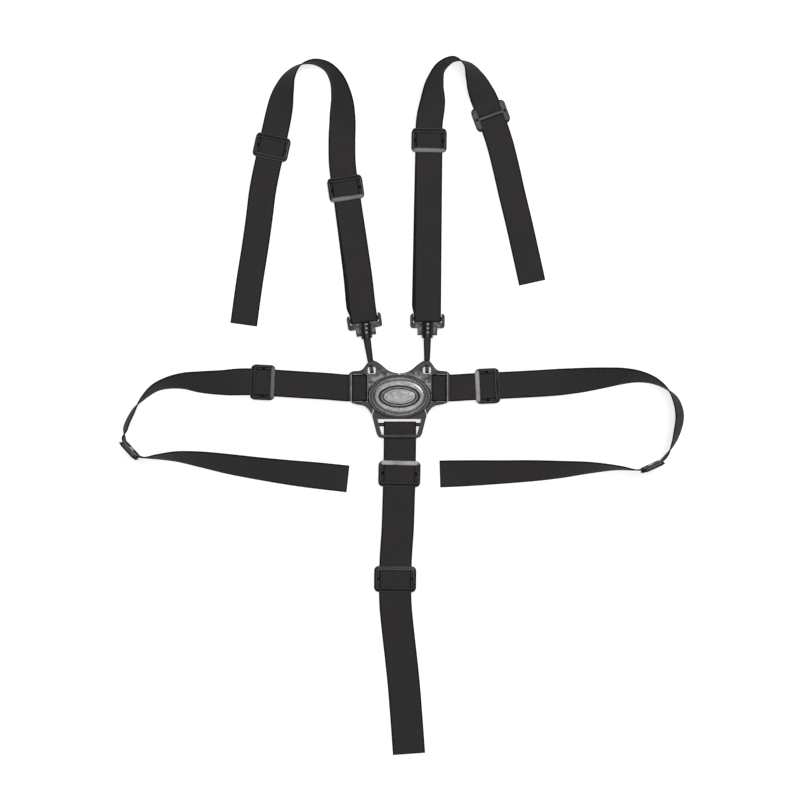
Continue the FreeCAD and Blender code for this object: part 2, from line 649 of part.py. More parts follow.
def make_wing(label, side):
    """A side connector: side is -1 on the left and 1 on the right."""
    body = new_body(label)

    def mirrored(points):
        return [(side * x, y) for x, y in points]

    def place(expression):
        return f"{side} * ({expression})"

    outline = new_sketch(body, "outline", "XY_Plane", cell("wing_under"))
    smooth_line(outline, mirrored(LOBE))
    smooth_line(outline, mirrored(SKIRT))
    inner = [SKIRT[-1], (24.0, -12.0), (0.4, 0.0), LOBE[0]]
    for a, b in list(zip(inner, inner[1:])) + [(LOBE[-1], SKIRT[0])]:
        sides = mirrored([a, b])
        outline.addGeometry(Part.LineSegment(V(*sides[0], 0), V(*sides[1], 0)), False)
    pad(body, "plate", outline, f"{cell('wing_top')} - {cell('wing_under')}")
    mid = cell("wing_strap_mid")
    slot = cell("wing_slot")
    rail_mid = place("(dimensions.rail_end + dimensions.wing_window_in) / 2")
    rail_long = "dimensions.rail_end - dimensions.wing_window_in"
    rail_wide = cell("rail_wide")
    low, high = cell("ladder_low"), "dimensions.wing_under + 0.5"
    for sign, name in (("+", "upper"), ("-", "lower")):
        rail_y = f"{mid} {sign} ({slot} + {rail_wide}) / 2"
        block(body, f"{name}_rail", rail_long, rail_wide, low, high, rail_mid, rail_y)
    ring = new_sketch(body, "ring_gap", "XY_Plane", "0")
    gap = size("wing_gap")
    oval(ring, size("shell_long") + gap, size("shell_short") + gap)
    pocket(body, "ring_clearance", ring, reverse=True)
    window_wide = "dimensions.wing_window_out - dimensions.wing_window_in"
    window_mid = place("(dimensions.wing_window_out + dimensions.wing_window_in) / 2")
    cut_down(body, "window", window_wide, slot, cell("wing_top"), window_mid, mid)
    bar_mid = place("dimensions.wing_window_out + 3")
    cut_down(body, "strap_tunnel", "8", slot, cell("ladder_bar_under"), bar_mid, mid)
    tongue_low, tongue_high = cell("tongue_under"), cell("tongue_top")
    tongue_wide = "dimensions.tongue_root - dimensions.tongue_tip"
    block(body, "tongue", tongue_wide, cell("tongue_width"), tongue_low, tongue_high,
          place("(dimensions.tongue_root + dimensions.tongue_tip) / 2"))
    block(body, "root_bar", cell("root_bar"), cell("root_bar_long"), tongue_low, tongue_high,
          place(cell("root_bar_mid")), "dimensions.wing_strap_mid - 1")
    spring_room = new_sketch(body, "fork", "XY_Plane", cell("tongue_top"))
    fork_mid = place("dimensions.tongue_tip + dimensions.fork_long / 2 - 1")
    rectangle(spring_room, cell("fork_long"), cell("fork_wide"), fork_mid)
    pocket(body, "fork_gap", spring_room)
    pin = new_sketch(body, "pin_end", "XZ_Plane", f"-({mid} + {slot} / 2 + 1)")
    circle(pin, cell("ladder_pin_radius"), place(cell("wing_pin_out")), cell("ladder_pin_height"))
    pad(body, "pin", pin, f"{slot} + 2")
    eye = new_sketch(body, "eye", "XY_Plane", cell("wing_top"))
    low_corner, high_corner = sorted(mirrored(EYELET_CORNERS))
    bottom, top_y = EYELET_CORNERS[0][1], EYELET_CORNERS[1][1]
    rounded(eye, (low_corner[0], bottom), (high_corner[0], top_y), size("eyelet_round"))
    pocket(body, "eyelet", eye)
    dent = new_sketch(body, "dent", "XY_Plane", cell("wing_top"))
    polygon(dent, mirrored(EYELET_DENT))
    pocket(body, "eyelet_dent", dent, cell("dent_depth"))

    def is_rim(edge):
        beyond = abs(edge.BoundBox.Center.x) > SHORTEST_RIM[0]
        return at_height(edge, size("wing_top")) and edge.Length > SHORTEST_RIM[1] and beyond

    def is_bar_edge(edge):
        away = abs(edge.BoundBox.Center.x) - size("wing_window_out")
        return at_height(edge, size("wing_top")) and abs(away) < NEAR

    round_edges(body, "rim_round", cell("wing_round"), is_rim)
    round_edges(body, "window_round", cell("window_round"), is_bar_edge)


# ------------------------------------------------------------ swivel hooks


# The bent blade seen from the side: along the hook, then up.
BLADE_SIDE = [(7.0, 0.4), (-1.4, 0.4), (-2.6, 0.9), (-3.0, 2.2), (-3.0, 10.4), (-2.4, 11.6),
              (-1.2, 12.0), (3.4, 12.0), (4.3, 11.5), (4.5, 10.6), (4.1, 9.9), (1.9, 9.6),
              (1.5, 9.0), (1.5, 5.3), (2.2, 4.5), (7.0, 4.5)]


def hook_placement(side_name):
    side = {"left": -1, "right": 1}[side_name]
    eyelet = V(side * size("eyelet_out"), size("eyelet_up"), 0)
    return FreeCAD.Placement(eyelet, FreeCAD.Rotation(UP, HOOK_LEAN[side_name]))


def make_hook(label, side_name):
    """A one-piece hook: blade through the eyelet, shank, swivel stem and head."""
    body = new_body(label)
    blade = new_sketch(body, "blade", "YZ_Plane", "-dimensions.blade_width / 2")
    polygon(blade, BLADE_SIDE)
    pad(body, "bent_blade", blade, cell("blade_width"))
    shank = []
    spans = [("shank_start", "blade_width", "shank_thin", "shank_low"),
             ("shank_start", "shank_narrow", "shank_thin", "shank_low"),
             ("shank_end", "shank_wide", "shank_deep", "stem_height")]
    for n, (at, wide, deep, height) in enumerate(spans):
        extra = " + 3" if n == 1 else ""
        sketch = new_sketch(body, f"shank_{n}", "XZ_Plane", f"-({cell(at)}{extra})")
        half, rise, mid = size(wide) / 2, size(deep) / 2, size(height)
        rounded(sketch, (-half, mid - rise), (half, mid + rise), min(half, rise) * 0.6)
        shank.append(sketch)
    loft = body.newObject("PartDesign::AdditiveLoft", f"{label}_shank")
    loft.Profile = shank[0]
    loft.Sections = shank[1:]
    loft.Ruled = True
    stem = new_sketch(body, "stem_end", "XZ_Plane", f"-{cell('shank_end')}")
    circle(stem, cell("stem_radius"), "0", cell("stem_height"))
    pad(body, "stem", stem, "dimensions.stem_end - dimensions.shank_end", reverse=True)
    head = new_sketch(body, "head_end", "XZ_Plane", "-(dimensions.stem_end - dimensions.head_thick)")
    circle(head, cell("head_radius"), "0", cell("stem_height"))
    pad(body, "head", head, cell("head_thick"), reverse=True)
    body.Placement = hook_placement(side_name)


def ring_along(body, name, radius, start, end):
    """A round boss along the hook's length, centred on the swivel stem."""
    sketch = new_sketch(body, f"{name}_end", "XZ_Plane", f"-({start})")
    circle(sketch, radius, "0", cell("stem_height"))
    pad(body, name, sketch, f"({end}) - ({start})", reverse=True)


def make_swivel_loop(label, side_name):
    """The ridged barrel that turns on the hook's stem, with the loop for the strap."""
    body = new_body(label)
    low = "dimensions.loop_height - dimensions.loop_thick / 2"
    high = "dimensions.loop_height + dimensions.loop_thick / 2"
    loop_long = "dimensions.loop_end - dimensions.loop_start"
    loop_mid = "(dimensions.loop_end + dimensions.loop_start) / 2"
    block(body, "frame", "2 * dimensions.loop_half", loop_long, low, high, "0", loop_mid)
    round_edges(body, "frame_corners", cell("loop_corner"), upright)
    slot_start = cell("barrel_end")
    slot_long = f"dimensions.loop_end + 1 - {slot_start}"
    cut_down(body, "slot", cell("loop_slot"), slot_long, high + " + 1", "0",
             f"{slot_start} + ({slot_long}) / 2")
    collar_long = "dimensions.loop_start + 1 - dimensions.collar_start"
    block(body, "collar", "2 * dimensions.collar_half", collar_long, low, high, "0",
          f"dimensions.collar_start + ({collar_long}) / 2")
    ring_along(body, "barrel", cell("barrel_radius"), cell("barrel_start"), cell("barrel_end"))
    for n in range(3):
        start = f"dimensions.barrel_start + dimensions.ridge_first + {n} * dimensions.ridge_pitch"
        ring_along(body, f"ridge_{n}", cell("ridge_radius"), start, f"{start} + dimensions.ridge_width")
    bore = new_sketch(body, "bore_end", "XZ_Plane", f"-({cell('barrel_start')} - 1)")
    circle(bore, "dimensions.stem_radius + dimensions.play", "0", cell("stem_height"))
    pocket(body, "bore", bore)
    well_start = "dimensions.stem_end - dimensions.head_thick - dimensions.play"
    well = new_sketch(body, "head_well", "XZ_Plane", f"-({well_start})")
    circle(well, "dimensions.head_radius + dimensions.play", "0", cell("stem_height"))
    pocket(body, "head_room", well)
    pin = new_sketch(body, "pin_end", "YZ_Plane", "-(dimensions.loop_slot / 2 + 1)")
    circle(pin, cell("loop_pin_radius"), cell("loop_pin"), cell("loop_height"))
    pad(body, "pin", pin, "dimensions.loop_slot + 2")
    body.Placement = hook_placement(side_name)


# ------------------------------------------------------------------ sliders


def make_slider(label, width, double):
    """A tri-glide: two outer bars over the strap and a middle bar under it."""
    body = new_body(label)
    kind = "double" if double else "single"
    top, tunnel = cell(kind + "_top"), cell(kind + "_tunnel")
    size_of = "crotch_slider" if label.startswith("crotch") else "slider"
    long = cell(size_of + "_length")
    slot = f"{width} + dimensions.slider_slot_extra"
    wide = f"{slot} + 2 * {cell(size_of + '_rail')}"
    block(body, "frame", wide, long, cell("slider_foot"), top)
    round_edges(body, "corners", cell("slider_corner"), upright)
    cut_down(body, "tunnel", slot, f"{long} + 2", tunnel)
    cut_down(body, "window", slot, f"{long} - 2 * dimensions.slider_bar", top + " + 1")
    upper = size(kind + "_top")
    round_edges(body, "top_round", cell("slider_round"), lambda e: at_height(e, upper))
    block(body, "mid_bar", f"{slot} + 1", cell("slider_mid_bar"), cell(kind + "_bar_low"),
          cell(kind + "_bar_high"))
    return body


def make_strap_end(label, width):
    """The strap's end, folded round the slider's middle bar."""
    body = new_body(label)
    thick = size("webbing_thick")
    low = size("end_low")
    upper = size("double_bar_high") + 0.05
    turn = size("slider_mid_bar") / 2 + 0.2
    middle = (low + thick + upper) / 2
    inner, outer = (upper - low - thick) / 2, (upper - low + thick) / 2
    reach, tail = -size("end_reach"), -size("end_tail")
    sketch = new_sketch(body, "fold", "YZ_Plane", f"-({width}) / 2")
    lines = [((turn, low), (reach, low)), ((reach, low), (reach, low + thick)),
             ((reach, low + thick), (turn, low + thick)), ((turn, upper), (tail, upper)),
             ((tail, upper), (tail, upper + thick)), ((tail, upper + thick), (turn, upper + thick))]
    for a, b in lines:
        sketch.addGeometry(Part.LineSegment(V(*a, 0), V(*b, 0)), False)
    for radius in (inner, outer):
        ends = [V(turn, middle - radius, 0), V(turn + radius, middle, 0), V(turn, middle + radius, 0)]
        sketch.addGeometry(Part.Arc(*ends), False)
    pad(body, "webbing", sketch, width)
    return body


# name, strap, station along the strap, takes a doubled strap, turned over
SLIDERS = [
    ("left_shoulder_adjuster", "left_shoulder", 122.2, True, False),
    ("left_shoulder_end_slider", "left_shoulder", 0, False, True),
    ("right_shoulder_adjuster", "right_shoulder", 165.0, True, False),
    ("right_shoulder_end_slider", "right_shoulder", 0, False, True),
    ("left_waist_adjuster", "left_waist", 94.0, True, False),
    ("left_waist_end_slider", "left_waist", 0, False, True),
    ("right_waist_adjuster", "right_waist", 49.0, True, False),
    ("right_waist_end_slider", "right_waist", 0, False, False),
    ("crotch_adjuster", "crotch", 45.4, True, False),
    ("crotch_end_slider", "crotch", 0, False, False),
]
# How far the lower layer stands out sideways: at the pin, soon after it, at the slider.
LAYER_SHIFTS = {"left_shoulder": (-0.4, -2.4, -0.2), "right_shoulder": (0.4, 2.0, 0.2)}
END_SLIDER_NEAR = {
    "left_shoulder": (-118.3, 230.8), "right_shoulder": (84.7, 260.3), "left_waist": (-248.4, -49.5),
    "right_waist": (232.8, -64.9), "crotch": (-3.9, -169.0),
}


def nearest_station(route, x, y):
    tries = [route.length * n / 2000 for n in range(2001)]
    return min(tries, key=lambda s: math.dist((route.value(0, s), route.value(1, s)), (x, y)))


def slider_placement(route, station, double, turned):
    """Local X lies across the strap, Y along it towards its free end, Z off its face.

    On a bend, the outer bars are on the outside and the middle bar stands off further.
    """
    ahead = route.along(station)
    across = route.across(station)
    if double:
        across = V(ahead.y, -ahead.x, 0)
    normal = across.cross(ahead)
    if turned:
        across, normal = across * -1, normal * -1
    strap_level = (size("single_bar_high") + size("single_tunnel")) / 2
    origin = V(route.value(0, station), route.value(1, station), 0)
    if not double:
        on_edge = abs(route.across(station).z) > 0.7
        room = size("bend_room") if on_edge else 0.0
        origin = route.centre(station) - normal * (strap_level + room)
    turn = FreeCAD.Rotation(across, ahead, normal, "XYZ")
    return FreeCAD.Placement(origin, turn)


def make_sliders():
    for label, strap, station, double, turned in SLIDERS:
        route = ROUTES[strap]
        width = cell("crotch_width" if strap == "crotch" else "webbing_width")
        if not double:
            station = nearest_station(route, *END_SLIDER_NEAR[strap])
        place = slider_placement(route, station, double, turned)
        make_slider(label, width, double).Placement = place
        if double:
            make_strap_end(f"{strap}_strap_end", width).Placement = place


def make_straps():
    adjusters = {strap: station for _, strap, station, double, _ in SLIDERS if double}
    for strap, route in ROUTES.items():
        on_loop = strap.endswith("shoulder")
        height = size("loop_height" if on_loop else "ladder_pin_height")
        radius = size("loop_pin_radius") + size("play")
        if not on_loop:
            radius = size("ladder_pin_radius") + 0.05
        make_strap(f"{strap}_strap", route, height, radius)
        shifts = LAYER_SHIFTS.get(strap, (0.0, 0.0, 0.0))
        make_return(f"{strap}_strap_return", route, height, radius, adjusters[strap], shifts)


def check_and_export():
    document.recompute()
    os.makedirs("parts", exist_ok=True)
    for item in document.Objects:
        if "Invalid" in item.State or "Error" in item.State:
            raise RuntimeError(f"{item.Label} is {item.State}")
    parts = [o for o in document.Objects if o.TypeId in ("PartDesign::Body", "Part::Feature")]
    for item in parts:
        shape = item.Shape
        if shape.isNull() or not shape.isValid() or len(shape.Solids) != 1:
            raise RuntimeError(f"{item.Label} has no single valid solid")
        box = shape.BoundBox
        print(f"{item.Label:28s} {shape.Volume:9.1f} mm3  z {box.ZMin:6.2f} to {box.ZMax:6.2f}")
        shape.exportStep(f"parts/{item.Label}.step")


make_back_cover()
make_front_shell()
make_button()
make_badge()
make_spring()
for side_name, side in (("left", -1), ("right", 1)):
    make_wing(f"{side_name}_wing", side)
    make_hook(f"{side_name}_shoulder_hook", side_name)
    make_swivel_loop(f"{side_name}_swivel_loop", side_name)
make_straps()
make_sliders()
check_and_export()
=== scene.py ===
import math

import bmesh
import bpy
from mathutils import Matrix, Vector


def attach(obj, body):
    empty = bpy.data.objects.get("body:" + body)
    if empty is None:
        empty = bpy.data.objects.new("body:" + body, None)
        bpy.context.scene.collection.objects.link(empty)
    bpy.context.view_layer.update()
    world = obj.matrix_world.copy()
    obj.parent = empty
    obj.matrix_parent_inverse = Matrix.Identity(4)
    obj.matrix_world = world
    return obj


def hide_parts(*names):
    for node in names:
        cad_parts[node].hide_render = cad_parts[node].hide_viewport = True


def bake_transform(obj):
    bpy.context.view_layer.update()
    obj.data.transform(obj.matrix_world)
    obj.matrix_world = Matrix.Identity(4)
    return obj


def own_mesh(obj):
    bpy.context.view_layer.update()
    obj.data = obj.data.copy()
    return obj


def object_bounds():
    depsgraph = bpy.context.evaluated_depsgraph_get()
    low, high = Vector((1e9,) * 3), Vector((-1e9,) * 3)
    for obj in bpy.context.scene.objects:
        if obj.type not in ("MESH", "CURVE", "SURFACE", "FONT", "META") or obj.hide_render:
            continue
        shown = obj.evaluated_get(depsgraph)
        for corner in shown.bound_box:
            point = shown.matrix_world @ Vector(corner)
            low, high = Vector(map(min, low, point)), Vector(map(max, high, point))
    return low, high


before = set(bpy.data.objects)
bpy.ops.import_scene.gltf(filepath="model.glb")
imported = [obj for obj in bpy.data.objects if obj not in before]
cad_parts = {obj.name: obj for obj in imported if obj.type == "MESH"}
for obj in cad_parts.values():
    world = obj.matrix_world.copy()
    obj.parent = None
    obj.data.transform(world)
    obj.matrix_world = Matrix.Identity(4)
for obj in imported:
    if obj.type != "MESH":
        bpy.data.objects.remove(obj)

# A five-point child harness laid out flat on a pale table, seen from straight above.
# Everything is in metres in the frame's own coordinates.

cad_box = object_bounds()
UP = Vector((0, 0, 1))

# ------------------------------------------------------------ camera and stage

# The width of table in view, measured at the height of most of the webbing.
VIEW_WIDTH = 0.7408
VIEW_CENTRE = (0.0006, -0.0032)
LENS, SENSOR = 85.0, 36.0
CLIP_NEAR, CLIP_FAR = 0.05, 50.0
STRAP_HEIGHT = 0.004
SKY_COLOUR = (0.93, 0.95, 1.0, 1)
SKY_STRENGTH = 0.2
# light: place, size and power. Each one points at the origin.
LIGHTS = {
    "overhead_softbox": ((0.05, 0.10, 2.4), 1.7, 23),
    "upper_right_softbox": ((0.66, 0.66, 1.75), 0.45, 9),
    "upper_left_softbox": ((-0.9, 0.8, 1.3), 0.45, 1.2),
}


def place_object(name, data):
    thing = bpy.data.objects.new(name, data)
    bpy.context.scene.collection.objects.link(thing)
    return thing


def make_camera():
    data = bpy.data.cameras.new("camera")
    data.lens, data.sensor_width = LENS, SENSOR
    data.clip_start, data.clip_end = CLIP_NEAR, CLIP_FAR
    camera = place_object("camera", data)
    camera.location = (*VIEW_CENTRE, VIEW_WIDTH * LENS / SENSOR + STRAP_HEIGHT)
    bpy.context.scene.camera = camera


def make_lights():
    for name, (place, size, power) in LIGHTS.items():
        data = bpy.data.lights.new(name, "AREA")
        data.shape, data.size, data.size_y = "RECTANGLE", size, size
        data.energy = power
        light = place_object(name, data)
        light.location = place
        light.rotation_euler = Vector(place).to_track_quat("Z", "Y").to_euler()


def make_world():
    world = bpy.data.worlds.new("studio")
    world.use_nodes = True
    background = world.node_tree.nodes["Background"]
    background.inputs["Color"].default_value = SKY_COLOUR
    background.inputs["Strength"].default_value = SKY_STRENGTH
    bpy.context.scene.world = world


# ------------------------------------------------------------------- materials


def new_material(name, **values):
    """A Principled material: the values are its own sockets, which hold all over."""
    material = bpy.data.materials.new(name)
    material.use_nodes = True
    shader = material.node_tree.nodes["Principled BSDF"]
    for socket, value in values.items():
        shader.inputs[socket.replace("_", " ")].default_value = value
    return material


def add(tree, kind, inputs=None, **settings):
    """Adds a node. An input is a number, a tuple or another node's output."""
    node = tree.nodes.new(kind)
    for key, value in settings.items():
        setattr(node, key, value)
    for key, value in (inputs or {}).items():
        if isinstance(value, bpy.types.NodeSocket):
            tree.links.new(value, node.inputs[key])
        else:
            node.inputs[key].default_value = value
    return node


def calc(tree, operation, first, second=0.0):
    return add(tree, "ShaderNodeMath", {0: first, 1: second}, operation=operation).outputs[0]


def times(tree, first, second):
    return calc(tree, "MULTIPLY", first, second)


def split(tree, place):
    """The place's X, Y and Z."""
    return tuple(add(tree, "ShaderNodeSeparateXYZ", {"Vector": place}).outputs)


def remap(tree, value, low, high, to_low=0.0, to_high=1.0):
    """The value moved from one range to another, held at the second one's ends."""
    inputs = {"Value": value, "From Min": low, "From Max": high, "To Min": to_low, "To Max": to_high}
    return add(tree, "ShaderNodeMapRange", inputs).outputs["Result"]


def noise(tree, place, scale, detail=3.0, rough=0.5):
    inputs = {"Vector": place, "Scale": scale, "Detail": detail, "Roughness": rough}
    return add(tree, "ShaderNodeTexNoise", inputs).outputs["Fac"]


def blend_colours(tree, share, first, second):
    """The first colour where the share is 0, the second where it is 1."""
    node = add(tree, "ShaderNodeMix", data_type="RGBA")
    for key, kind, value in (("Factor", "VALUE", share), ("A", "RGBA", first), ("B", "RGBA", second)):
        socket = next(s for s in node.inputs if s.name == key and s.type == kind)
        if isinstance(value, bpy.types.NodeSocket):
            tree.links.new(value, socket)
        else:
            socket.default_value = value
    return next(s for s in node.outputs if s.type == "RGBA")


def grey(level):
    return (level, level, level, 1)


def finish_surface(material, colour, roughness, height=None, depth=0.0001, strength=1.0):
    """Links the patterned colour, roughness and relief to the material's shader."""
    tree = material.node_tree
    shader = tree.nodes["Principled BSDF"]
    tree.links.new(colour, shader.inputs["Base Color"])
    tree.links.new(roughness, shader.inputs["Roughness"])
    if height is not None:
        inputs = {"Height": height, "Distance": depth, "Strength": strength}
        bump = add(tree, "ShaderNodeBump", inputs)
        tree.links.new(bump.outputs["Normal"], shader.inputs["Normal"])
    return material


RIB_PITCH = 0.0017
YARN_PITCH = 0.0011
SELVEDGE = 0.0017
MELTED = 0.0012


def make_webbing_material():
    """Ribbed black nylon: crosswise ribs, lengthwise yarns with painted shade in the hollows between them, a
    firm selvedge and a melted cut end.
    """
    material = new_material("webbing", Specular_IOR_Level=0.06)
    tree = material.node_tree
    lie = add(tree, "ShaderNodeUVMap", uv_map="lie").outputs["UV"]
    across, along, _ = split(tree, lie)
    edge = add(tree, "ShaderNodeAttribute", attribute_name="edge").outputs["Fac"]
    cut = add(tree, "ShaderNodeAttribute", attribute_name="cut").outputs["Fac"]
    column = calc(tree, "FLOOR", calc(tree, "DIVIDE", across, YARN_PITCH))
    shift = times(tree, calc(tree, "MODULO", column, 2.0), math.pi)
    turns = times(tree, along, 2 * math.pi / RIB_PITCH)
    rib = calc(tree, "SINE", calc(tree, "ADD", turns, shift))
    rib = remap(tree, rib, -1.0, 1.0)
    yarn = times(tree, across, math.pi / YARN_PITCH)
    yarn = calc(tree, "ABSOLUTE", calc(tree, "SINE", yarn))
    weave = times(tree, rib, calc(tree, "POWER", yarn, 0.5))
    place = add(tree, "ShaderNodeTexCoord").outputs["Object"]
    fuzz = noise(tree, place, 2600.0, 4.0, 0.65)
    relief = calc(tree, "ADD", weave, times(tree, fuzz, 0.5))
    firm = remap(tree, edge, SELVEDGE, SELVEDGE * 0.6)
    melted = remap(tree, cut, MELTED, MELTED * 0.4)
    relief = times(tree, relief, remap(tree, melted, 0.0, 1.0, 1.0, 0.15))
    patches = remap(tree, noise(tree, place, 26.0, 3.0, 0.6), 0.42, 0.68)
    colour = blend_colours(tree, patches, (0.0570, 0.0560, 0.0564, 1), (0.0700, 0.0550, 0.0568, 1))
    # Painted shade: the colour darkens into the weave's hollows, following the bump's relief.
    weave_lit_share = times(tree, relief, 0.85)
    colour = blend_colours(tree, weave_lit_share, (0.0175, 0.0168, 0.0173, 1), colour)
    colour = blend_colours(tree, times(tree, firm, 0.8), colour, (0.0070, 0.0068, 0.0070, 1))
    colour = blend_colours(tree, melted, colour, (0.0060, 0.0058, 0.0060, 1))
    rough = remap(tree, fuzz, 0.3, 0.7, 0.62, 0.86)
    rough = calc(tree, "SUBTRACT", rough, times(tree, melted, 0.35))
    return finish_surface(material, colour, rough, relief, 0.00016, 0.8)


def make_plastic_material(name, dark, pale, rough_low, rough_high, grain, depth, **values):
    """Moulded plastic: fine grain, faint cloudy gloss, a few rubbed streaks, and a painted highlight on bars
    flagged for it.
    """
    material = new_material(name, **values)
    tree = material.node_tree
    place = add(tree, "ShaderNodeTexCoord").outputs["Object"]
    fine = noise(tree, place, grain, 4.0, 0.6)
    cloud = noise(tree, place, 90.0, 3.0, 0.5)
    stretched = add(tree, "ShaderNodeMapping", {"Vector": place, "Scale": (1.0, 14.0, 1.0)})
    streak = remap(tree, noise(tree, stretched.outputs["Vector"], 160.0, 5.0, 0.7), 0.58, 0.72)
    share = calc(tree, "ADD", remap(tree, fine, 0.35, 0.65, 0.0, 0.8), times(tree, streak, 0.2))
    colour = blend_colours(tree, share, dark, pale)
    # Painted highlight: the flagged bars are made pale where the real bar would reflect the light.
    painted_highlight = add(tree, "ShaderNodeAttribute", attribute_name="painted_highlight").outputs["Fac"]
    painted_highlight = times(tree, painted_highlight, remap(tree, cloud, 0.3, 0.6, 0.55, 1.0))
    colour = blend_colours(tree, painted_highlight, colour, grey(0.42))
    rough = remap(tree, cloud, 0.35, 0.65, rough_low, rough_high)
    rough = calc(tree, "ADD", rough, times(tree, streak, 0.08))
    rough = calc(tree, "SUBTRACT", rough, times(tree, painted_highlight, 0.12))
    return finish_surface(material, colour, rough, fine, depth, 0.6)


# Ovals round the buckle's centre: half length and half width.
RING_OVAL = (0.0296, 0.0206)
CREST_OVAL = (0.0276, 0.0196)
MOUTH_OVAL = (0.0254, 0.0177)
BUTTON_OVAL = (0.0247, 0.0170)
GROOVE_OUTER = (0.0194, 0.0106)
OUTER_LINE = (0.0193, 0.0105)
INNER_LINE = (0.0160, 0.0081)
GROOVE_INNER = (0.0157, 0.0079)
# Where the painted shade on the ladder frames begins: out along the wings, and down the crotch ladder.
WING_SHADE_START, CROTCH_SHADE_START = (0.0325, 0.0345), (-0.0195, -0.0215)
# The painted highlight line along each ladder's outer bar, and how far the crotch ladder's line reaches.
WING_HIGHLIGHT_LINE, CROTCH_HIGHLIGHT_LINE, HIGHLIGHT_LINE_WIDTH = 0.0445, -0.0366, 0.0006
CROTCH_HIGHLIGHT_REACH = (0.018, 0.016)
# The barrels stand this far out from a line a little left of the buckle's centre.
BARREL_SHIFT, BARREL_OUT = 0.0020, 0.0283
BARREL_Y, RIDGE_PITCH = 0.0630, 0.0039


def oval_reach(tree, place, oval):
    """How far out a point is from the buckle's centre, 1 being on the oval."""
    x, y, _ = split(tree, place)
    x = calc(tree, "POWER", calc(tree, "DIVIDE", x, oval[0]), 2.0)
    y = calc(tree, "POWER", calc(tree, "DIVIDE", y, oval[1]), 2.0)
    return calc(tree, "SQRT", calc(tree, "ADD", x, y))


def near_value(tree, value, target, width, core=0.4):
    """1 at the target and over the width's core, fading to 0 at the width either side."""
    away = calc(tree, "ABSOLUTE", calc(tree, "SUBTRACT", value, target))
    return remap(tree, away, width, width * core)


def oval_line(tree, place, oval, width):
    """1 along the oval's line, fading to 0 at that share of its size either side."""
    return near_value(tree, oval_reach(tree, place, oval), 1.0, width, 0.35)


def shade_button(tree, place, colour):
    """Painted highlight on the rim, painted shade on the flanks, and painted shade in the groove round the
    badge and along its two edges.
    """
    # Painted highlight: paler towards the rim.
    rim_highlight = remap(tree, oval_reach(tree, place, BUTTON_OVAL), 0.84, 0.92)
    colour = blend_colours(tree, times(tree, rim_highlight, 0.75), colour, grey(0.50))
    # Painted shade: darker on the left and right flanks.
    x, _, _ = split(tree, place)
    out = calc(tree, "ABSOLUTE", calc(tree, "DIVIDE", x, BUTTON_OVAL[0]))
    flank_shade = remap(tree, out, 0.55, 0.9)
    colour = blend_colours(tree, times(tree, flank_shade, 0.5), colour, grey(0.06))
    # Painted shade: a dark band in the groove round the badge, with darker lines at its two edges.
    inside = remap(tree, oval_reach(tree, place, GROOVE_OUTER), 1.03, 0.98)
    outside = remap(tree, oval_reach(tree, place, GROOVE_INNER), 0.98, 1.03)
    groove_shade = times(tree, times(tree, inside, outside), 0.22)
    for oval, width, strength in ((OUTER_LINE, 0.030, 0.4), (INNER_LINE, 0.035, 0.8)):
        groove_edge_shade = times(tree, oval_line(tree, place, oval, width), strength)
        groove_shade = calc(tree, "MAXIMUM", groove_shade, groove_edge_shade)
    return blend_colours(tree, groove_shade, colour, grey(0.016))


def shade_housing(tree, place, colour):
    """Painted highlights in cloudy patches above the ring, painted shade on the ladder frames with a painted
    highlight line along their outer bars, a painted highlight along the ring's crest, and a painted shadow
    line in the gap where the button drops in."""
    x, y, _ = split(tree, place)
    # Painted highlights: pale cloudy patches above the ring, on its upper side only.
    cloud = remap(tree, noise(tree, place, 210.0, 3.0, 0.6), 0.42, 0.60)
    reach = oval_reach(tree, place, RING_OVAL)
    upper_highlight = times(tree, remap(tree, reach, 1.42, 1.04), remap(tree, reach, 0.99, 1.02))
    upper_highlight = times(tree, upper_highlight, remap(tree, y, 0.0, 0.008))
    colour = blend_colours(tree, times(tree, times(tree, upper_highlight, cloud), 0.75), colour, grey(0.26))
    # Painted shade: the ladder frames darkened almost to black.
    out = calc(tree, "ABSOLUTE", x)
    frame_shade = calc(tree, "MAXIMUM", remap(tree, out, *WING_SHADE_START), remap(tree, y, *CROTCH_SHADE_START))
    colour = blend_colours(tree, times(tree, frame_shade, 0.85), colour, grey(0.006))
    # Painted highlight: a pale line along each ladder's outer bar.
    wing_highlight = near_value(tree, out, WING_HIGHLIGHT_LINE, HIGHLIGHT_LINE_WIDTH)
    crotch_highlight = near_value(tree, y, CROTCH_HIGHLIGHT_LINE, HIGHLIGHT_LINE_WIDTH)
    crotch_highlight = times(tree, crotch_highlight, remap(tree, out, *CROTCH_HIGHLIGHT_REACH))
    wear_and_highlight = calc(tree, "MAXIMUM", wing_highlight, crotch_highlight)
    wear_and_highlight = times(tree, wear_and_highlight, remap(tree, cloud, 0.0, 1.0, 0.6, 1.0))
    colour = blend_colours(tree, wear_and_highlight, colour, grey(0.20))
    # Painted highlight: a pale line along the ring's crest.
    crest_highlight = times(tree, oval_line(tree, place, CREST_OVAL, 0.020), 0.5)
    colour = blend_colours(tree, crest_highlight, colour, grey(0.16))
    # Painted shadow: a black line in the gap where the button drops in.
    return blend_colours(tree, oval_line(tree, place, MOUTH_OVAL, 0.022), colour, grey(0.002))


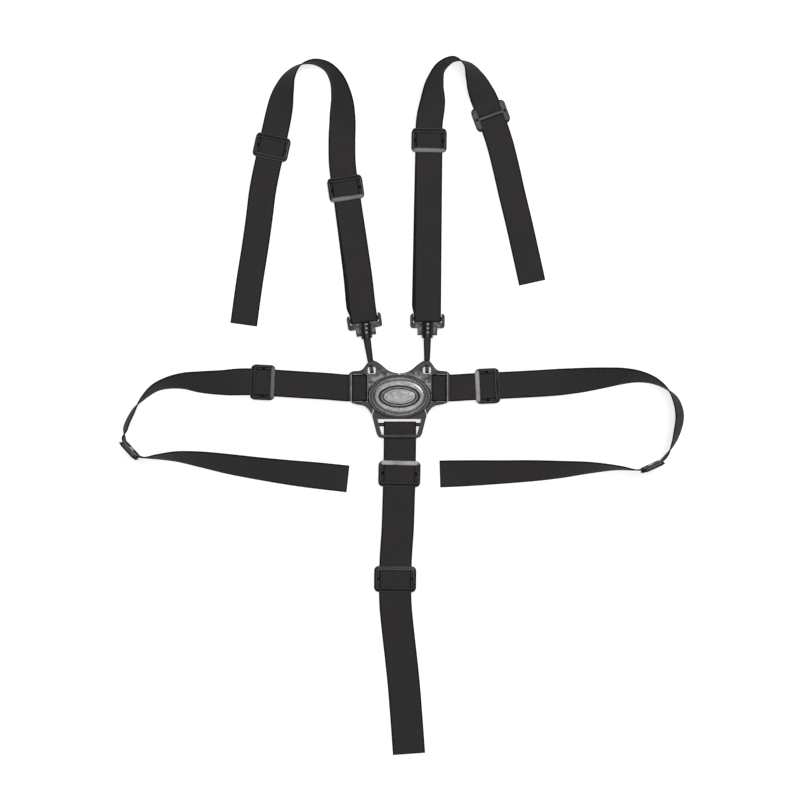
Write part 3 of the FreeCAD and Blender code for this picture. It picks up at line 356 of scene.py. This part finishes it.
def shade_loop(tree, place, colour):
    """Painted highlights in patches either side of the swivel barrel, and painted highlights on its three
    ridges.
    """
    x, y, _ = split(tree, place)
    out = calc(tree, "ABSOLUTE", calc(tree, "ADD", x, BARREL_SHIFT))
    away = calc(tree, "ABSOLUTE", calc(tree, "SUBTRACT", out, BARREL_OUT))
    level = times(tree, remap(tree, y, 0.0570, 0.0590), remap(tree, y, 0.0690, 0.0670))
    side = times(tree, remap(tree, away, 0.0043, 0.0055), remap(tree, away, 0.0125, 0.0105))
    cloud = remap(tree, noise(tree, place, 330.0, 3.0, 0.6), 0.44, 0.58)
    # Painted highlights: pale cloudy patches either side of the barrel.
    side_highlight = times(tree, times(tree, side, level), cloud)
    colour = blend_colours(tree, times(tree, side_highlight, 0.85), colour, grey(0.20))
    # Painted highlights: bright dots along the barrel's three ridges.
    turns = times(tree, calc(tree, "SUBTRACT", y, BARREL_Y), 2 * math.pi / RIDGE_PITCH)
    ridges = remap(tree, calc(tree, "COSINE", turns), 0.2, 0.8)
    ridge_highlight = times(tree, times(tree, ridges, remap(tree, away, 0.0014, 0.0006)), level)
    return blend_colours(tree, ridge_highlight, colour, grey(0.45))


def make_painted_material(name, dark, pale, rough_low, rough_high, fleck, shade, **values):
    """Metallic paint with flecks of two sizes and slightly rubbed, duller patches."""
    material = new_material(name, **values)
    tree = material.node_tree
    place = add(tree, "ShaderNodeTexCoord").outputs["Object"]
    coarse = noise(tree, place, fleck, 3.0, 0.6)
    fine = noise(tree, place, fleck * 3.1, 2.0, 0.5)
    flecks = calc(tree, "ADD", times(tree, coarse, 0.6), times(tree, fine, 0.4))
    colour = blend_colours(tree, remap(tree, flecks, 0.36, 0.64), dark, pale)
    wear_and_highlight = remap(tree, noise(tree, place, 110.0, 4.0, 0.6), 0.52, 0.7)
    colour = blend_colours(tree, times(tree, wear_and_highlight, 0.25), colour, dark)
    # The shade function lays painted highlights and painted shade over the paint.
    colour = shade(tree, place, colour)
    rough = remap(tree, flecks, 0.3, 0.7, rough_high, rough_low)
    rough = calc(tree, "ADD", rough, times(tree, wear_and_highlight, 0.06))
    return finish_surface(material, colour, rough, flecks, 0.00004, 0.5)


def make_steel_material():
    material = new_material("spring_steel", Metallic=1.0)
    tree = material.node_tree
    place = add(tree, "ShaderNodeTexCoord").outputs["Object"]
    drawn = add(tree, "ShaderNodeMapping", {"Vector": place, "Scale": (1.0, 1.0, 20.0)})
    lines = noise(tree, drawn.outputs["Vector"], 900.0, 4.0, 0.6)
    colour = blend_colours(tree, lines, (0.30, 0.30, 0.31, 1), (0.62, 0.62, 0.64, 1))
    return finish_surface(material, colour, remap(tree, lines, 0.3, 0.7, 0.22, 0.4), lines, 0.00002)


def make_floor_material():
    """A sheet lit softly from below, so nothing lying on it throws a hard shadow."""
    material = new_material(
        "floor", Specular_IOR_Level=0.1, Emission_Color=grey(1.0), Emission_Strength=0.6)
    tree = material.node_tree
    place = add(tree, "ShaderNodeTexCoord").outputs["Object"]
    mottle = noise(tree, place, 40.0, 3.0, 0.5)
    colour = blend_colours(tree, mottle, grey(0.90), grey(0.92))
    return finish_surface(material, colour, remap(tree, mottle, 0.3, 0.7, 0.7, 0.8))


# Plastics: dark, pale, lowest and highest roughness, grain's scale and depth.
# Paints: dark, pale, lowest and highest roughness, flecks' scale, and the painted highlights and shade laid
# over them.
MATERIALS = {
    "webbing": make_webbing_material(),
    "slider_plastic": make_plastic_material(
        "slider_plastic", grey(0.0070), grey(0.0120), 0.26, 0.40, 1500.0, 0.00001, Specular_IOR_Level=0.4),
    "black_plastic": make_plastic_material(
        "black_plastic", grey(0.0060), grey(0.0140), 0.20, 0.34, 1300.0, 0.00003, Specular_IOR_Level=0.3),
    "swivel_plastic": make_painted_material(
        "swivel_plastic", grey(0.0050), grey(0.0120), 0.28, 0.42, 700.0, shade_loop, Specular_IOR_Level=0.3),
    "graphite": make_painted_material(
        "graphite", grey(0.008), grey(0.045), 0.24, 0.38, 700.0, shade_housing, Metallic=0.4,
        Specular_IOR_Level=0.35),
    "silver_button": make_painted_material(
        "silver_button", grey(0.11), grey(0.24), 0.22, 0.32, 420.0, shade_button, Metallic=0.85,
        Coat_Weight=0.1, Coat_Roughness=0.15),
    "spring_steel": make_steel_material(),
}

# ---------------------------------------------------------------- strap routes

# One row per station: x, y, degrees turned over, height of the lowest edge.
LEFT_SHOULDER = [
    (-0.0326, 0.0714, 0, 0.0062), (-0.0340, 0.0808, 0, 0.0057), (-0.0372, 0.1086, 0, 0.0046),
    (-0.0422, 0.1432, 0, 0.0046), (-0.0467, 0.1729, 0, 0.0046), (-0.0498, 0.1936, 0, 0.0046),
    (-0.0525, 0.2124, 0, 0.0046), (-0.0532, 0.2360, 0, 0.0024), (-0.0527, 0.2580, 14, 0.0003),
    (-0.0538, 0.2780, 40, 0.0001), (-0.0584, 0.2935, 60, 0.0001), (-0.0665, 0.3038, 76, 0.0001),
    (-0.0800, 0.3084, 90, 0.0001), (-0.0930, 0.3048, 104, 0.0001), (-0.1016, 0.2955, 122, 0.0001),
    (-0.1073, 0.2815, 146, 0.0001), (-0.1110, 0.2650, 170, 0.0010), (-0.1144, 0.2490, 180, 0.0022),
    (-0.1183, 0.2308, 180, 0.0022), (-0.1224, 0.2125, 180, 0.0022), (-0.1263, 0.1930, 180, 0.0022),
    (-0.1300, 0.1650, 180, 0.0010), (-0.1342, 0.1360, 180, 0.0001), (-0.1387, 0.1080, 180, 0.0001),
    (-0.1444, 0.0667, 180, 0.0001),
]
RIGHT_SHOULDER = [
    (0.0260, 0.0719, 0, 0.0062), (0.0263, 0.1050, 0, 0.0046), (0.0266, 0.1430, 0, 0.0046),
    (0.0269, 0.1780, 0, 0.0046), (0.0272, 0.2100, 0, 0.0046), (0.0275, 0.2370, 0, 0.0046),
    (0.0278, 0.2540, 0, 0.0046), (0.0308, 0.2720, 20, 0.0016), (0.0332, 0.2900, 50, 0.0001),
    (0.0386, 0.3036, 72, 0.0001), (0.0510, 0.3110, 90, 0.0001), (0.0630, 0.3060, 112, 0.0001),
    (0.0698, 0.2950, 138, 0.0001), (0.0750, 0.2830, 163, 0.0014), (0.0796, 0.2730, 180, 0.0022),
    (0.0876, 0.2515, 180, 0.0022), (0.0936, 0.2329, 180, 0.0022), (0.0986, 0.2130, 180, 0.0022),
    (0.1044, 0.1880, 180, 0.0010), (0.1104, 0.1634, 180, 0.0001), (0.1168, 0.1350, 180, 0.0001),
    (0.1233, 0.1056, 180, 0.0001),
]
LEFT_WAIST = [
    (-0.0325, 0.0080, 0, 0.0052), (-0.0490, 0.0080, 0, 0.0048), (-0.0660, 0.0094, 0, 0.0046),
    (-0.0920, 0.0110, 0, 0.0046), (-0.1263, 0.0131, 0, 0.0046), (-0.1420, 0.0137, 0, 0.0046),
    (-0.1630, 0.0129, 22, 0.0012), (-0.1846, 0.0134, 39, 0.0001), (-0.1990, 0.0143, 54, 0.0001),
    (-0.2124, 0.0126, 66, 0.0001), (-0.2240, 0.0086, 76, 0.0001), (-0.2360, -0.0014, 88, 0.0001),
    (-0.2464, -0.0160, 104, 0.0006), (-0.2522, -0.0295, 106, 0.0016),
    (-0.2534, -0.0385, 92, 0.0036), (-0.2484, -0.0495, 92, 0.0036), (-0.2365, -0.0560, 92, 0.0036),
    (-0.2220, -0.0556, 101, 0.0012), (-0.2060, -0.0554, 113, 0.0001),
    (-0.1846, -0.0579, 126.5, 0.0001), (-0.1568, -0.0625, 140, 0.0001),
    (-0.1290, -0.0667, 149, 0.0001), (-0.1013, -0.0704, 160, 0.0001),
    (-0.0720, -0.0737, 174, 0.0001), (-0.0476, -0.0764, 180, 0.0001),
]
RIGHT_WAIST = [
    (0.0325, 0.0080, 0, 0.0052), (0.0490, 0.0080, 0, 0.0047), (0.0640, 0.0089, 0, 0.0046),
    (0.0814, 0.0097, 0, 0.0046), (0.1080, 0.0110, 0, 0.0046), (0.1300, 0.0122, 0, 0.0046),
    (0.1626, 0.0146, 20, 0.0008), (0.1904, 0.0174, 42, 0.0001), (0.2060, 0.0188, 54, 0.0001),
    (0.2200, 0.0184, 66, 0.0001), (0.2345, 0.0146, 79, 0.0001), (0.2465, 0.0070, 93, 0.0001),
    (0.2553, -0.0044, 110, 0.0001), (0.2585, -0.0174, 115, 0.0001), (0.2564, -0.0310, 112, 0.0006),
    (0.2510, -0.0454, 102, 0.0020), (0.2446, -0.0556, 92, 0.0036), (0.2328, -0.0649, 92, 0.0036),
    (0.2186, -0.0676, 92, 0.0036), (0.2043, -0.0660, 98, 0.0008), (0.1765, -0.0657, 115.5, 0.0001),
    (0.1488, -0.0674, 131, 0.0001), (0.1210, -0.0687, 144, 0.0001), (0.0932, -0.0699, 153, 0.0001),
    (0.0654, -0.0709, 166, 0.0001), (0.0376, -0.0718, 180, 0.0001),
]
CROTCH = [
    (0.0005, -0.0260, 0, 0.0052), (0.0005, -0.0460, 0, 0.0047), (0.0000, -0.0720, 0, 0.0046),
    (-0.0007, -0.0980, 0, 0.0046), (-0.0016, -0.1240, 0, 0.0040), (-0.0032, -0.1480, 0, 0.0022),
    (-0.0039, -0.1690, 0, 0.0022), (-0.0036, -0.1920, 0, 0.0022), (-0.0014, -0.2160, 0, 0.0008),
    (0.0015, -0.2420, 0, 0.0001), (0.0042, -0.2680, 0, 0.0001), (0.0065, -0.2970, 0, 0.0001),
    (0.0090, -0.3315, 0, 0.0001),
]

THICK = 0.0012
WIDTHS = {"crotch": 0.030}
WEBBING_WIDTH = 0.025
PLAY = 0.0003
# strap: rows, outer side, body, pin height, inner radius round the pin, adjuster's station
STRAPS = {
    "left_shoulder": (LEFT_SHOULDER, 1, "left_shoulder_strap", 0.0039, 0.0023, 0.1222),
    "right_shoulder": (RIGHT_SHOULDER, -1, "right_shoulder_strap", 0.0039, 0.0023, 0.1650),
    "left_waist": (LEFT_WAIST, 1, "left_wing", 0.0034, 0.00175, 0.0940),
    "right_waist": (RIGHT_WAIST, -1, "right_wing", 0.0034, 0.00175, 0.0490),
    "crotch": (CROTCH, 1, "buckle", 0.0034, 0.00175, 0.0454),
}
# How far the lower layer stands out sideways: at the pin, soon after it, at the slider.
LAYER_SHIFTS = {"left_shoulder": (-0.0004, -0.0024, -0.0002), "right_shoulder": (0.0004, 0.0020, 0.0002)}
SHIFT_START, SETTLE_LENGTH = 0.0055, 0.014
HALF_STEP = 0.0005


def knot_slopes(stations, values, steady):
    """The curve's slope at each row. A steady column never swings past its rows."""
    gaps = [b - a for a, b in zip(stations, stations[1:])]
    rates = [(b - a) / gap for a, b, gap in zip(values, values[1:], gaps)]
    slopes = [rates[0]]
    for before, after, gap, next_gap in zip(rates, rates[1:], gaps, gaps[1:]):
        if not steady:
            slopes.append((before * next_gap + after * gap) / (gap + next_gap))
        elif before * after <= 0:
            slopes.append(0.0)
        else:
            slopes.append(2 * before * after / (before + after))
    return slopes + [rates[-1]]


class Route:
    """A strap's centre line in space, with the direction across its width."""

    def __init__(self, rows, outer_side, width):
        self.width = width
        self.outer_side = outer_side
        self.stations = [0.0]
        for a, b in zip(rows, rows[1:]):
            self.stations.append(self.stations[-1] + math.dist(a[:2], b[:2]))
        self.columns = list(zip(*rows))
        self.slopes = [knot_slopes(self.stations, c, n > 1) for n, c in enumerate(self.columns)]
        self.length = self.stations[-1]

    def value(self, column, station):
        last = len(self.stations) - 2
        k = max(n for n in range(last + 1) if n == 0 or self.stations[n] <= station)
        gap = self.stations[k + 1] - self.stations[k]
        u = (station - self.stations[k]) / gap
        a, b = self.columns[column][k], self.columns[column][k + 1]
        p, q = self.slopes[column][k] * gap, self.slopes[column][k + 1] * gap
        return a + u * p + u * u * (3 * (b - a) - 2 * p - q) + u ** 3 * (2 * (a - b) + p + q)

    def along(self, station):
        ahead = min(station + HALF_STEP, self.length)
        behind = max(station - HALF_STEP, 0.0)
        step = [self.value(c, ahead) - self.value(c, behind) for c in (0, 1)]
        return Vector((step[0], step[1], 0)).normalized()

    def across(self, station):
        ahead = self.along(station)
        out = Vector((ahead.y, -ahead.x, 0)) * self.outer_side
        turn = math.radians(self.value(2, station))
        return out * math.cos(turn) + UP * math.sin(turn)

    def centre(self, station):
        turn = math.radians(self.value(2, station))
        height = self.value(3, station) + abs(math.sin(turn)) * self.width / 2
        height += abs(math.cos(turn)) * THICK / 2
        return Vector((self.value(0, station), self.value(1, station), height))


ROUTES = {
    name: Route(rows, side, WIDTHS.get(name, WEBBING_WIDTH))
    for name, (rows, side, *_) in STRAPS.items()
}

# --------------------------------------------------------------------- webbing

EDGE_ROUND = 0.0005
FACE_POINTS = 11
EDGE_POINTS = 3
BAND_STEP = 0.002
TURN_STEPS = 14
SELVEDGE_SWELL = 0.00006
CUT_THIN = 0.6


def band_profile(width):
    """The webbing's section: (across, off the face), a thin strip with rounded selvedges."""
    half, thick = width / 2, THICK / 2
    inner = half - EDGE_ROUND
    top = []
    for n in range(FACE_POINTS):
        a = -inner + 2 * inner * n / (FACE_POINTS - 1)
        swell = SELVEDGE_SWELL if n in (0, FACE_POINTS - 1) else 0.0
        top.append((a, thick + swell * 0.5))
    points = list(top)
    for side in (1, -1):
        for n in range(1, EDGE_POINTS + 1):
            angle = math.pi / 2 - math.pi * n / (EDGE_POINTS + 1)
            points.append((side * (inner + EDGE_ROUND * math.cos(angle)), side * thick * math.sin(angle)))
        if side == 1:
            points += [(a, -h) for a, h in reversed(top)]
    return points


def path_length(path):
    return sum((b[0] - a[0]).length for a, b in zip(path, path[1:]))


def bridge(build, first, second):
    """Faces between two rings of vertices."""
    for n in range(len(first)):
        following = (n + 1) % len(first)
        build.faces.new((first[n], first[following], second[following], second[n]))


def finish_mesh(build, name, material):
    mesh = bpy.data.meshes.new(name)
    bmesh.ops.recalc_face_normals(build, faces=build.faces)
    build.to_mesh(mesh)
    build.free()
    mesh.materials.append(MATERIALS[material])
    return mesh


def make_band(name, path, width):
    """A strip of webbing along a path of (point, direction across), cut at its far end."""
    profile = band_profile(width)
    length = path_length(path)
    build = bmesh.new()
    lie = build.loops.layers.uv.new("lie")
    edge = build.verts.layers.float.new("edge")
    cut = build.verts.layers.float.new("cut")
    rows, place, walked = [], {}, 0.0
    for n, (point, across) in enumerate(path):
        if n:
            walked += (point - path[n - 1][0]).length
        ahead = path[min(n + 1, len(path) - 1)][0] - path[max(n - 1, 0)][0]
        normal = ahead.cross(across).normalized()
        thin = CUT_THIN if n in (0, len(path) - 1) else 1.0
        row = []
        for a, h in profile:
            vertex = build.verts.new(point + across * a + normal * h * thin)
            vertex[edge] = width / 2 - abs(a)
            vertex[cut] = length - walked
            place[vertex] = (a + width / 2, walked)
            row.append(vertex)
        rows.append(row)
    for low, high in zip(rows, rows[1:]):
        bridge(build, low, high)
    build.faces.new(rows[0])
    build.faces.new(list(reversed(rows[-1])))
    for face in build.faces:
        face.smooth = len(face.verts) == 4
        for loop in face.loops:
            loop[lie].uv = place[loop.vert]
    return place_object(name, finish_mesh(build, name, "webbing")), length


def spaced(start, end, step):
    count = max(1, math.ceil(abs(end - start) / step))
    return [start + (end - start) * n / count for n in range(count + 1)]


CUT_ROW = 0.0004


def main_path(route, pin_height, inner):
    """From the bottom of the pin, round it and along the route to the free end."""
    pin = Vector((route.value(0, 0), route.value(1, 0), pin_height))
    ahead, across = route.along(0), route.across(0)
    radius = inner + THICK / 2
    path = []
    for n in range(TURN_STEPS):
        angle = -math.pi / 2 + math.pi * n / TURN_STEPS
        path.append((pin - ahead * math.cos(angle) * radius + UP * math.sin(angle) * radius, across))
    stations = spaced(0.0, route.length - CUT_ROW, BAND_STEP) + [route.length]
    return path + [(route.centre(s), route.across(s)) for s in stations]


# From the adjuster's middle: where the fold lies flat, where it turns, and where its end is.
FOLD_NEAR, FOLD_TURN, FOLD_TAIL = 0.009, 0.0024, 0.011
# Height of its layer under the middle bar and of the one over it.
FOLD_LOW, FOLD_HIGH = 0.0009, 0.0037


def layer_shift(station, reach, shifts):
    """How far the lower layer stands out sideways at a station."""
    at_pin, soon, at_slider = shifts
    if station < SETTLE_LENGTH:
        share = max(0.0, station - SHIFT_START) / (SETTLE_LENGTH - SHIFT_START)
        return at_pin + (soon - at_pin) * math.sin(math.pi / 2 * share)
    return soon + (at_slider - soon) * (station - SETTLE_LENGTH) / (reach - SETTLE_LENGTH)


def folded_path(route, pin_height, inner, station, shifts):
    """From the bottom of the pin back to the adjuster, round its middle bar and a little way back."""
    low = pin_height - inner - THICK / 2
    reach = station - FOLD_NEAR
    path = []
    for s in spaced(0.0, reach, BAND_STEP):
        across = route.across(s)
        point = route.centre(s) + across * layer_shift(s, reach, shifts)
        point.z = low + (FOLD_LOW - low) * s / reach
        path.append((point, across))
    ahead, across = route.along(station), route.across(station)
    origin = Vector((route.value(0, station), route.value(1, station), 0)) + across * shifts[2]
    for y in spaced(-FOLD_NEAR, FOLD_TURN, BAND_STEP)[1:]:
        path.append((origin + ahead * y + UP * FOLD_LOW, across))
    radius = (FOLD_HIGH - FOLD_LOW) / 2
    for n in range(1, TURN_STEPS):
        angle = -math.pi / 2 + math.pi * n / TURN_STEPS
        out = FOLD_TURN + radius * math.cos(angle)
        path.append((origin + ahead * out + UP * (FOLD_LOW + radius + radius * math.sin(angle)), across))
    for y in spaced(FOLD_TURN, CUT_ROW - FOLD_TAIL, BAND_STEP) + [-FOLD_TAIL]:
        path.append((origin + ahead * y + UP * FOLD_HIGH, across))
    return path


def make_straps():
    for name, (_, _, body, pin_height, inner, station) in STRAPS.items():
        route = ROUTES[name]
        path = main_path(route, pin_height, inner)
        strap, length = make_band(f"{name}_webbing", path, route.width)
        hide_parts(f"{name}_strap")
        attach(strap, body)
        shifts = LAYER_SHIFTS.get(name, (0.0, 0.0, 0.0))
        path = folded_path(route, pin_height, inner, station, shifts)
        fold, length = make_band(f"{name}_webbing_fold", path, route.width)
        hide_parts(f"{name}_strap_return", f"{name}_strap_end")
        start = route.centre(0.0)
        end = route.centre(station - FOLD_TAIL - 2 * PLAY)
        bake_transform(fold)


# --------------------------------------------------------------------- sliders

# webbing's width: the slider's length and its rails' width
SLIDER_SIZES = {0.025: (0.0224, 0.0031), 0.030: (0.0242, 0.0037)}
BAR, MID_BAR = 0.0042, 0.0044
SLOT_EXTRA = 0.0018
LEDGE = 0.0012
FOOT = 0.0003
LOOP_ROUND = 0.0024
# middle bar's low and high, underside of the outer bars, top
SINGLE = (0.0003, 0.0019, 0.0037, 0.0053)
DOUBLE = (0.00155, 0.00305, 0.0061, 0.0079)
BEND_ROOM = 0.0005
# how steeply the top slopes down outwards: on most bars, on rails, and on the bar with the painted highlight
BAR_LEAN, RAIL_LEAN, FLAT_LEAN = 0.34, 0.26, 0.05
# strap, point nearest the slider, turned over
END_SLIDERS = {
    "left_shoulder": ((-0.1183, 0.2308), True),
    "right_shoulder": ((0.0847, 0.2603), True),
    "left_waist": ((-0.2484, -0.0495), True),
    "right_waist": ((0.2328, -0.0649), False),
    "crotch": ((-0.0039, -0.1690), False),
}
# how strong the painted highlight is on each adjuster's bar nearest the buckle
BAR_HIGHLIGHTS = {"crotch": 1.0, "right_waist": 0.8, "left_shoulder": 0.42, "right_shoulder": 0.42, "left_waist": 0.22}
SECTION_POINTS = 20
CORNER_STEPS, BAR_STEPS, RAIL_STEPS, MID_BAR_STEPS = 8, 6, 3, 8
# How square the sections are: 2 is an oval.
FRAME_SQUARE, MID_BAR_SQUARE = 2.9, 2.6
LEDGE_SUNK = 0.0002
# Webbing whose width rises this much stands on its edge.
ON_EDGE = 0.7
STATION_TRIES = 2000


def smooth_share(t):
    t = min(max(t, 0.0), 1.0)
    return t * t * (3 - 2 * t)


def squircle(n, count, power):
    """A point of a rounded square from -1 to 1."""
    angle = 2 * math.pi * (n + 0.5) / count
    c, s = math.cos(angle), math.sin(angle)
    return math.copysign(abs(c) ** (2 / power), c), math.copysign(abs(s) ** (2 / power), s)


def slider_loop(width):
    """Round the frame: (x, y, outward x, outward y, share of bar from 0 at a rail to 1)."""
    length, rail = SLIDER_SIZES[width]
    half_x = width / 2 + SLOT_EXTRA / 2 + rail / 2
    half_y = length / 2 - BAR / 2
    loop = []
    for corner in range(4):
        start = math.pi / 2 * corner
        sign_x = 1 if corner in (0, 3) else -1
        sign_y = 1 if corner in (0, 1) else -1
        cx, cy = sign_x * (half_x - LOOP_ROUND), sign_y * (half_y - LOOP_ROUND)
        for n in range(CORNER_STEPS + 1):
            angle = start + math.pi / 2 * n / CORNER_STEPS
            out = (math.cos(angle), math.sin(angle))
            share = smooth_share(abs(out[1]) ** 2)
            loop.append((cx + out[0] * LOOP_ROUND, cy + out[1] * LOOP_ROUND, *out, share))
        if corner in (0, 2):
            next_x, next_y, steps = -sign_x * (half_x - LOOP_ROUND), sign_y * half_y, BAR_STEPS
        else:
            next_x, next_y, steps = sign_x * half_x, -sign_y * (half_y - LOOP_ROUND), RAIL_STEPS
        last_x, last_y, *facing = loop[-1]
        for n in range(1, steps):
            t = n / steps
            loop.append((last_x + (next_x - last_x) * t, last_y + (next_y - last_y) * t, *facing))
    return loop


def add_frame(build, width, heights, bar_highlight):
    """The looped frame, whose bars arch over the strap."""
    _, _, tunnel, top = heights
    rail = SLIDER_SIZES[width][1]
    painted_highlight = build.verts.layers.float.new("painted_highlight")
    rings = []
    for x, y, out_x, out_y, share in slider_loop(width):
        half = rail / 2 + (BAR - rail) / 2 * share
        low = FOOT + (tunnel - FOOT) * share
        middle, rise = (low + top) / 2, (top - low) / 2
        bar_lean = FLAT_LEAN if bar_highlight and y < 0 else BAR_LEAN
        lean = RAIL_LEAN + (bar_lean - RAIL_LEAN) * share
        ring = []
        for n in range(SECTION_POINTS):
            a, b = squircle(n, SECTION_POINTS, FRAME_SQUARE)
            height = middle + rise * b - lean * half * (a + 1) * max(b, 0)
            vertex = build.verts.new((x + out_x * half * a, y + out_y * half * a, height))
            # Flags the bar nearest the buckle for the painted highlight in its material.
            vertex[painted_highlight] = share * bar_highlight if y < 0 else 0.0
            ring.append(vertex)
        rings.append(ring)
    for first, second in zip(rings, rings[1:] + rings[:1]):
        bridge(build, first, second)


def add_middle_bar(build, reach, low, high):
    """The bar across the frame, between points that far out on either side."""
    middle, rise = (low + high) / 2, (high - low) / 2
    rings = []
    for n in range(MID_BAR_STEPS + 1):
        x = -reach + 2 * reach * n / MID_BAR_STEPS
        ring = []
        for k in range(SECTION_POINTS):
            a, b = squircle(k, SECTION_POINTS, MID_BAR_SQUARE)
            ring.append(build.verts.new((x, MID_BAR / 2 * a, middle + rise * b)))
        rings.append(ring)
    for first, second in zip(rings, rings[1:]):
        bridge(build, first, second)
    build.faces.new(rings[0])
    build.faces.new(rings[-1])


def make_slider_mesh(name, width, heights, bar_highlight):
    """A moulded tri-glide: a looped frame, a middle bar, and a ledge inside each rail."""
    bar_low, bar_high, *_ = heights
    length, rail = SLIDER_SIZES[width]
    reach = width / 2 + SLOT_EXTRA / 2 + rail / 2
    build = bmesh.new()
    add_frame(build, width, heights, bar_highlight)
    add_middle_bar(build, reach, bar_low, bar_high)
    for face in build.faces:
        face.smooth = len(face.verts) == 4
    inner = width / 2 - LEDGE
    size = Matrix.Diagonal((reach - inner, length - BAR, bar_high - bar_low - LEDGE_SUNK, 1))
    for side in (-1, 1):
        place = Matrix.Translation((side * (inner + reach) / 2, 0, (bar_low + bar_high) / 2))
        bmesh.ops.create_cube(build, size=1, matrix=place @ size)
    return finish_mesh(build, name, "slider_plastic")


def nearest_station(route, x, y):
    tries = [route.length * n / STATION_TRIES for n in range(STATION_TRIES + 1)]
    return min(tries, key=lambda s: math.dist((route.value(0, s), route.value(1, s)), (x, y)))


def slider_matrix(route, station, double, turned):
    """Local X lies across the strap, Y along it and Z off its face, as in the frame."""
    ahead, across = route.along(station), route.across(station)
    on_edge = abs(across.z) > ON_EDGE
    if double:
        across = Vector((ahead.y, -ahead.x, 0))
    normal = across.cross(ahead)
    if turned:
        across, normal = -across, -normal
    origin = Vector((route.value(0, station), route.value(1, station), 0))
    if not double:
        level = (SINGLE[1] + SINGLE[2]) / 2 + (BEND_ROOM if on_edge else 0.0)
        origin = route.centre(station) - normal * level
    turn = Matrix((across, ahead, normal)).transposed().to_4x4()
    return Matrix.Translation(origin) @ turn


def place_slider(label, route, heights, matrix, bar_highlight=0.0):
    piece = place_object(f"{label}_moulding", make_slider_mesh(label, route.width, heights, bar_highlight))
    piece.data.transform(matrix)
    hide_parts(label)
    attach(piece, label)


def make_sliders():
    for name, (*_, station) in STRAPS.items():
        route = ROUTES[name]
        matrix = slider_matrix(route, station, True, False)
        place_slider(f"{name}_adjuster", route, DOUBLE, matrix, BAR_HIGHLIGHTS[name])
        point, turned = END_SLIDERS[name]
        matrix = slider_matrix(route, nearest_station(route, *point), False, turned)
        place_slider(f"{name}_end_slider", route, SINGLE, matrix)


# ---------------------------------------------------------------- button spring

COIL_RADIUS, COIL_WIRE, COIL_TURNS = 0.0044, 0.00036, 5
COIL_LOW, COIL_HIGH = 0.00265, 0.0105
COIL_STEPS, COIL_SIDES = 28, 8


def make_spring():
    build = bmesh.new()
    rings = []
    count = COIL_TURNS * COIL_STEPS
    corners = [2 * math.pi * k / COIL_SIDES for k in range(COIL_SIDES)]
    for n in range(count + 1):
        angle = 2 * math.pi * n / COIL_STEPS
        out = Vector((math.cos(angle), math.sin(angle), 0))
        middle = out * COIL_RADIUS + UP * (COIL_LOW + (COIL_HIGH - COIL_LOW) * n / count)
        around = [(out * math.cos(c) + UP * math.sin(c)) * COIL_WIRE for c in corners]
        rings.append([build.verts.new(middle + offset) for offset in around])
    for first, second in zip(rings, rings[1:]):
        bridge(build, first, second)
    build.faces.new(rings[0])
    build.faces.new(rings[-1])
    for face in build.faces:
        face.smooth = len(face.verts) == 4
    coil = place_object("button_coil", finish_mesh(build, "button_coil", "spring_steel"))
    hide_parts("button_spring")
    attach(coil, "buckle")
    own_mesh(coil)


# ---------------------------------------------------------- carried-over nodes

NODE_MATERIALS = {
    "back_cover": "black_plastic",
    "front_shell": "graphite",
    "left_wing": "graphite",
    "right_wing": "graphite",
    "release_button": "silver_button",
    "button_badge": "silver_button",
    "left_shoulder_hook": "black_plastic",
    "right_shoulder_hook": "black_plastic",
    "left_swivel_loop": "swivel_plastic",
    "right_swivel_loop": "swivel_plastic",
}


def paint_nodes():
    for node, material in NODE_MATERIALS.items():
        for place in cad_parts[node].material_slots:
            place.material = MATERIALS[material]


# ----------------------------------------------------------------------- build


FLOOR_HALF = 4.0
FLOOR_GAP = 0.0002


def make_floor():
    mesh = bpy.data.meshes.new("floor")
    corners = [(x * FLOOR_HALF, y * FLOOR_HALF, 0) for x, y in ((-1, -1), (1, -1), (1, 1), (-1, 1))]
    mesh.from_pydata(corners, [], [(0, 1, 2, 3)])
    mesh.materials.append(make_floor_material())
    floor = place_object("floor", mesh)
    floor.location.z = cad_box[0].z - FLOOR_GAP


make_camera()
make_world()
make_lights()
bpy.context.scene.view_settings.view_transform = "Standard"
make_floor()
paint_nodes()
make_straps()
make_sliders()
make_spring()
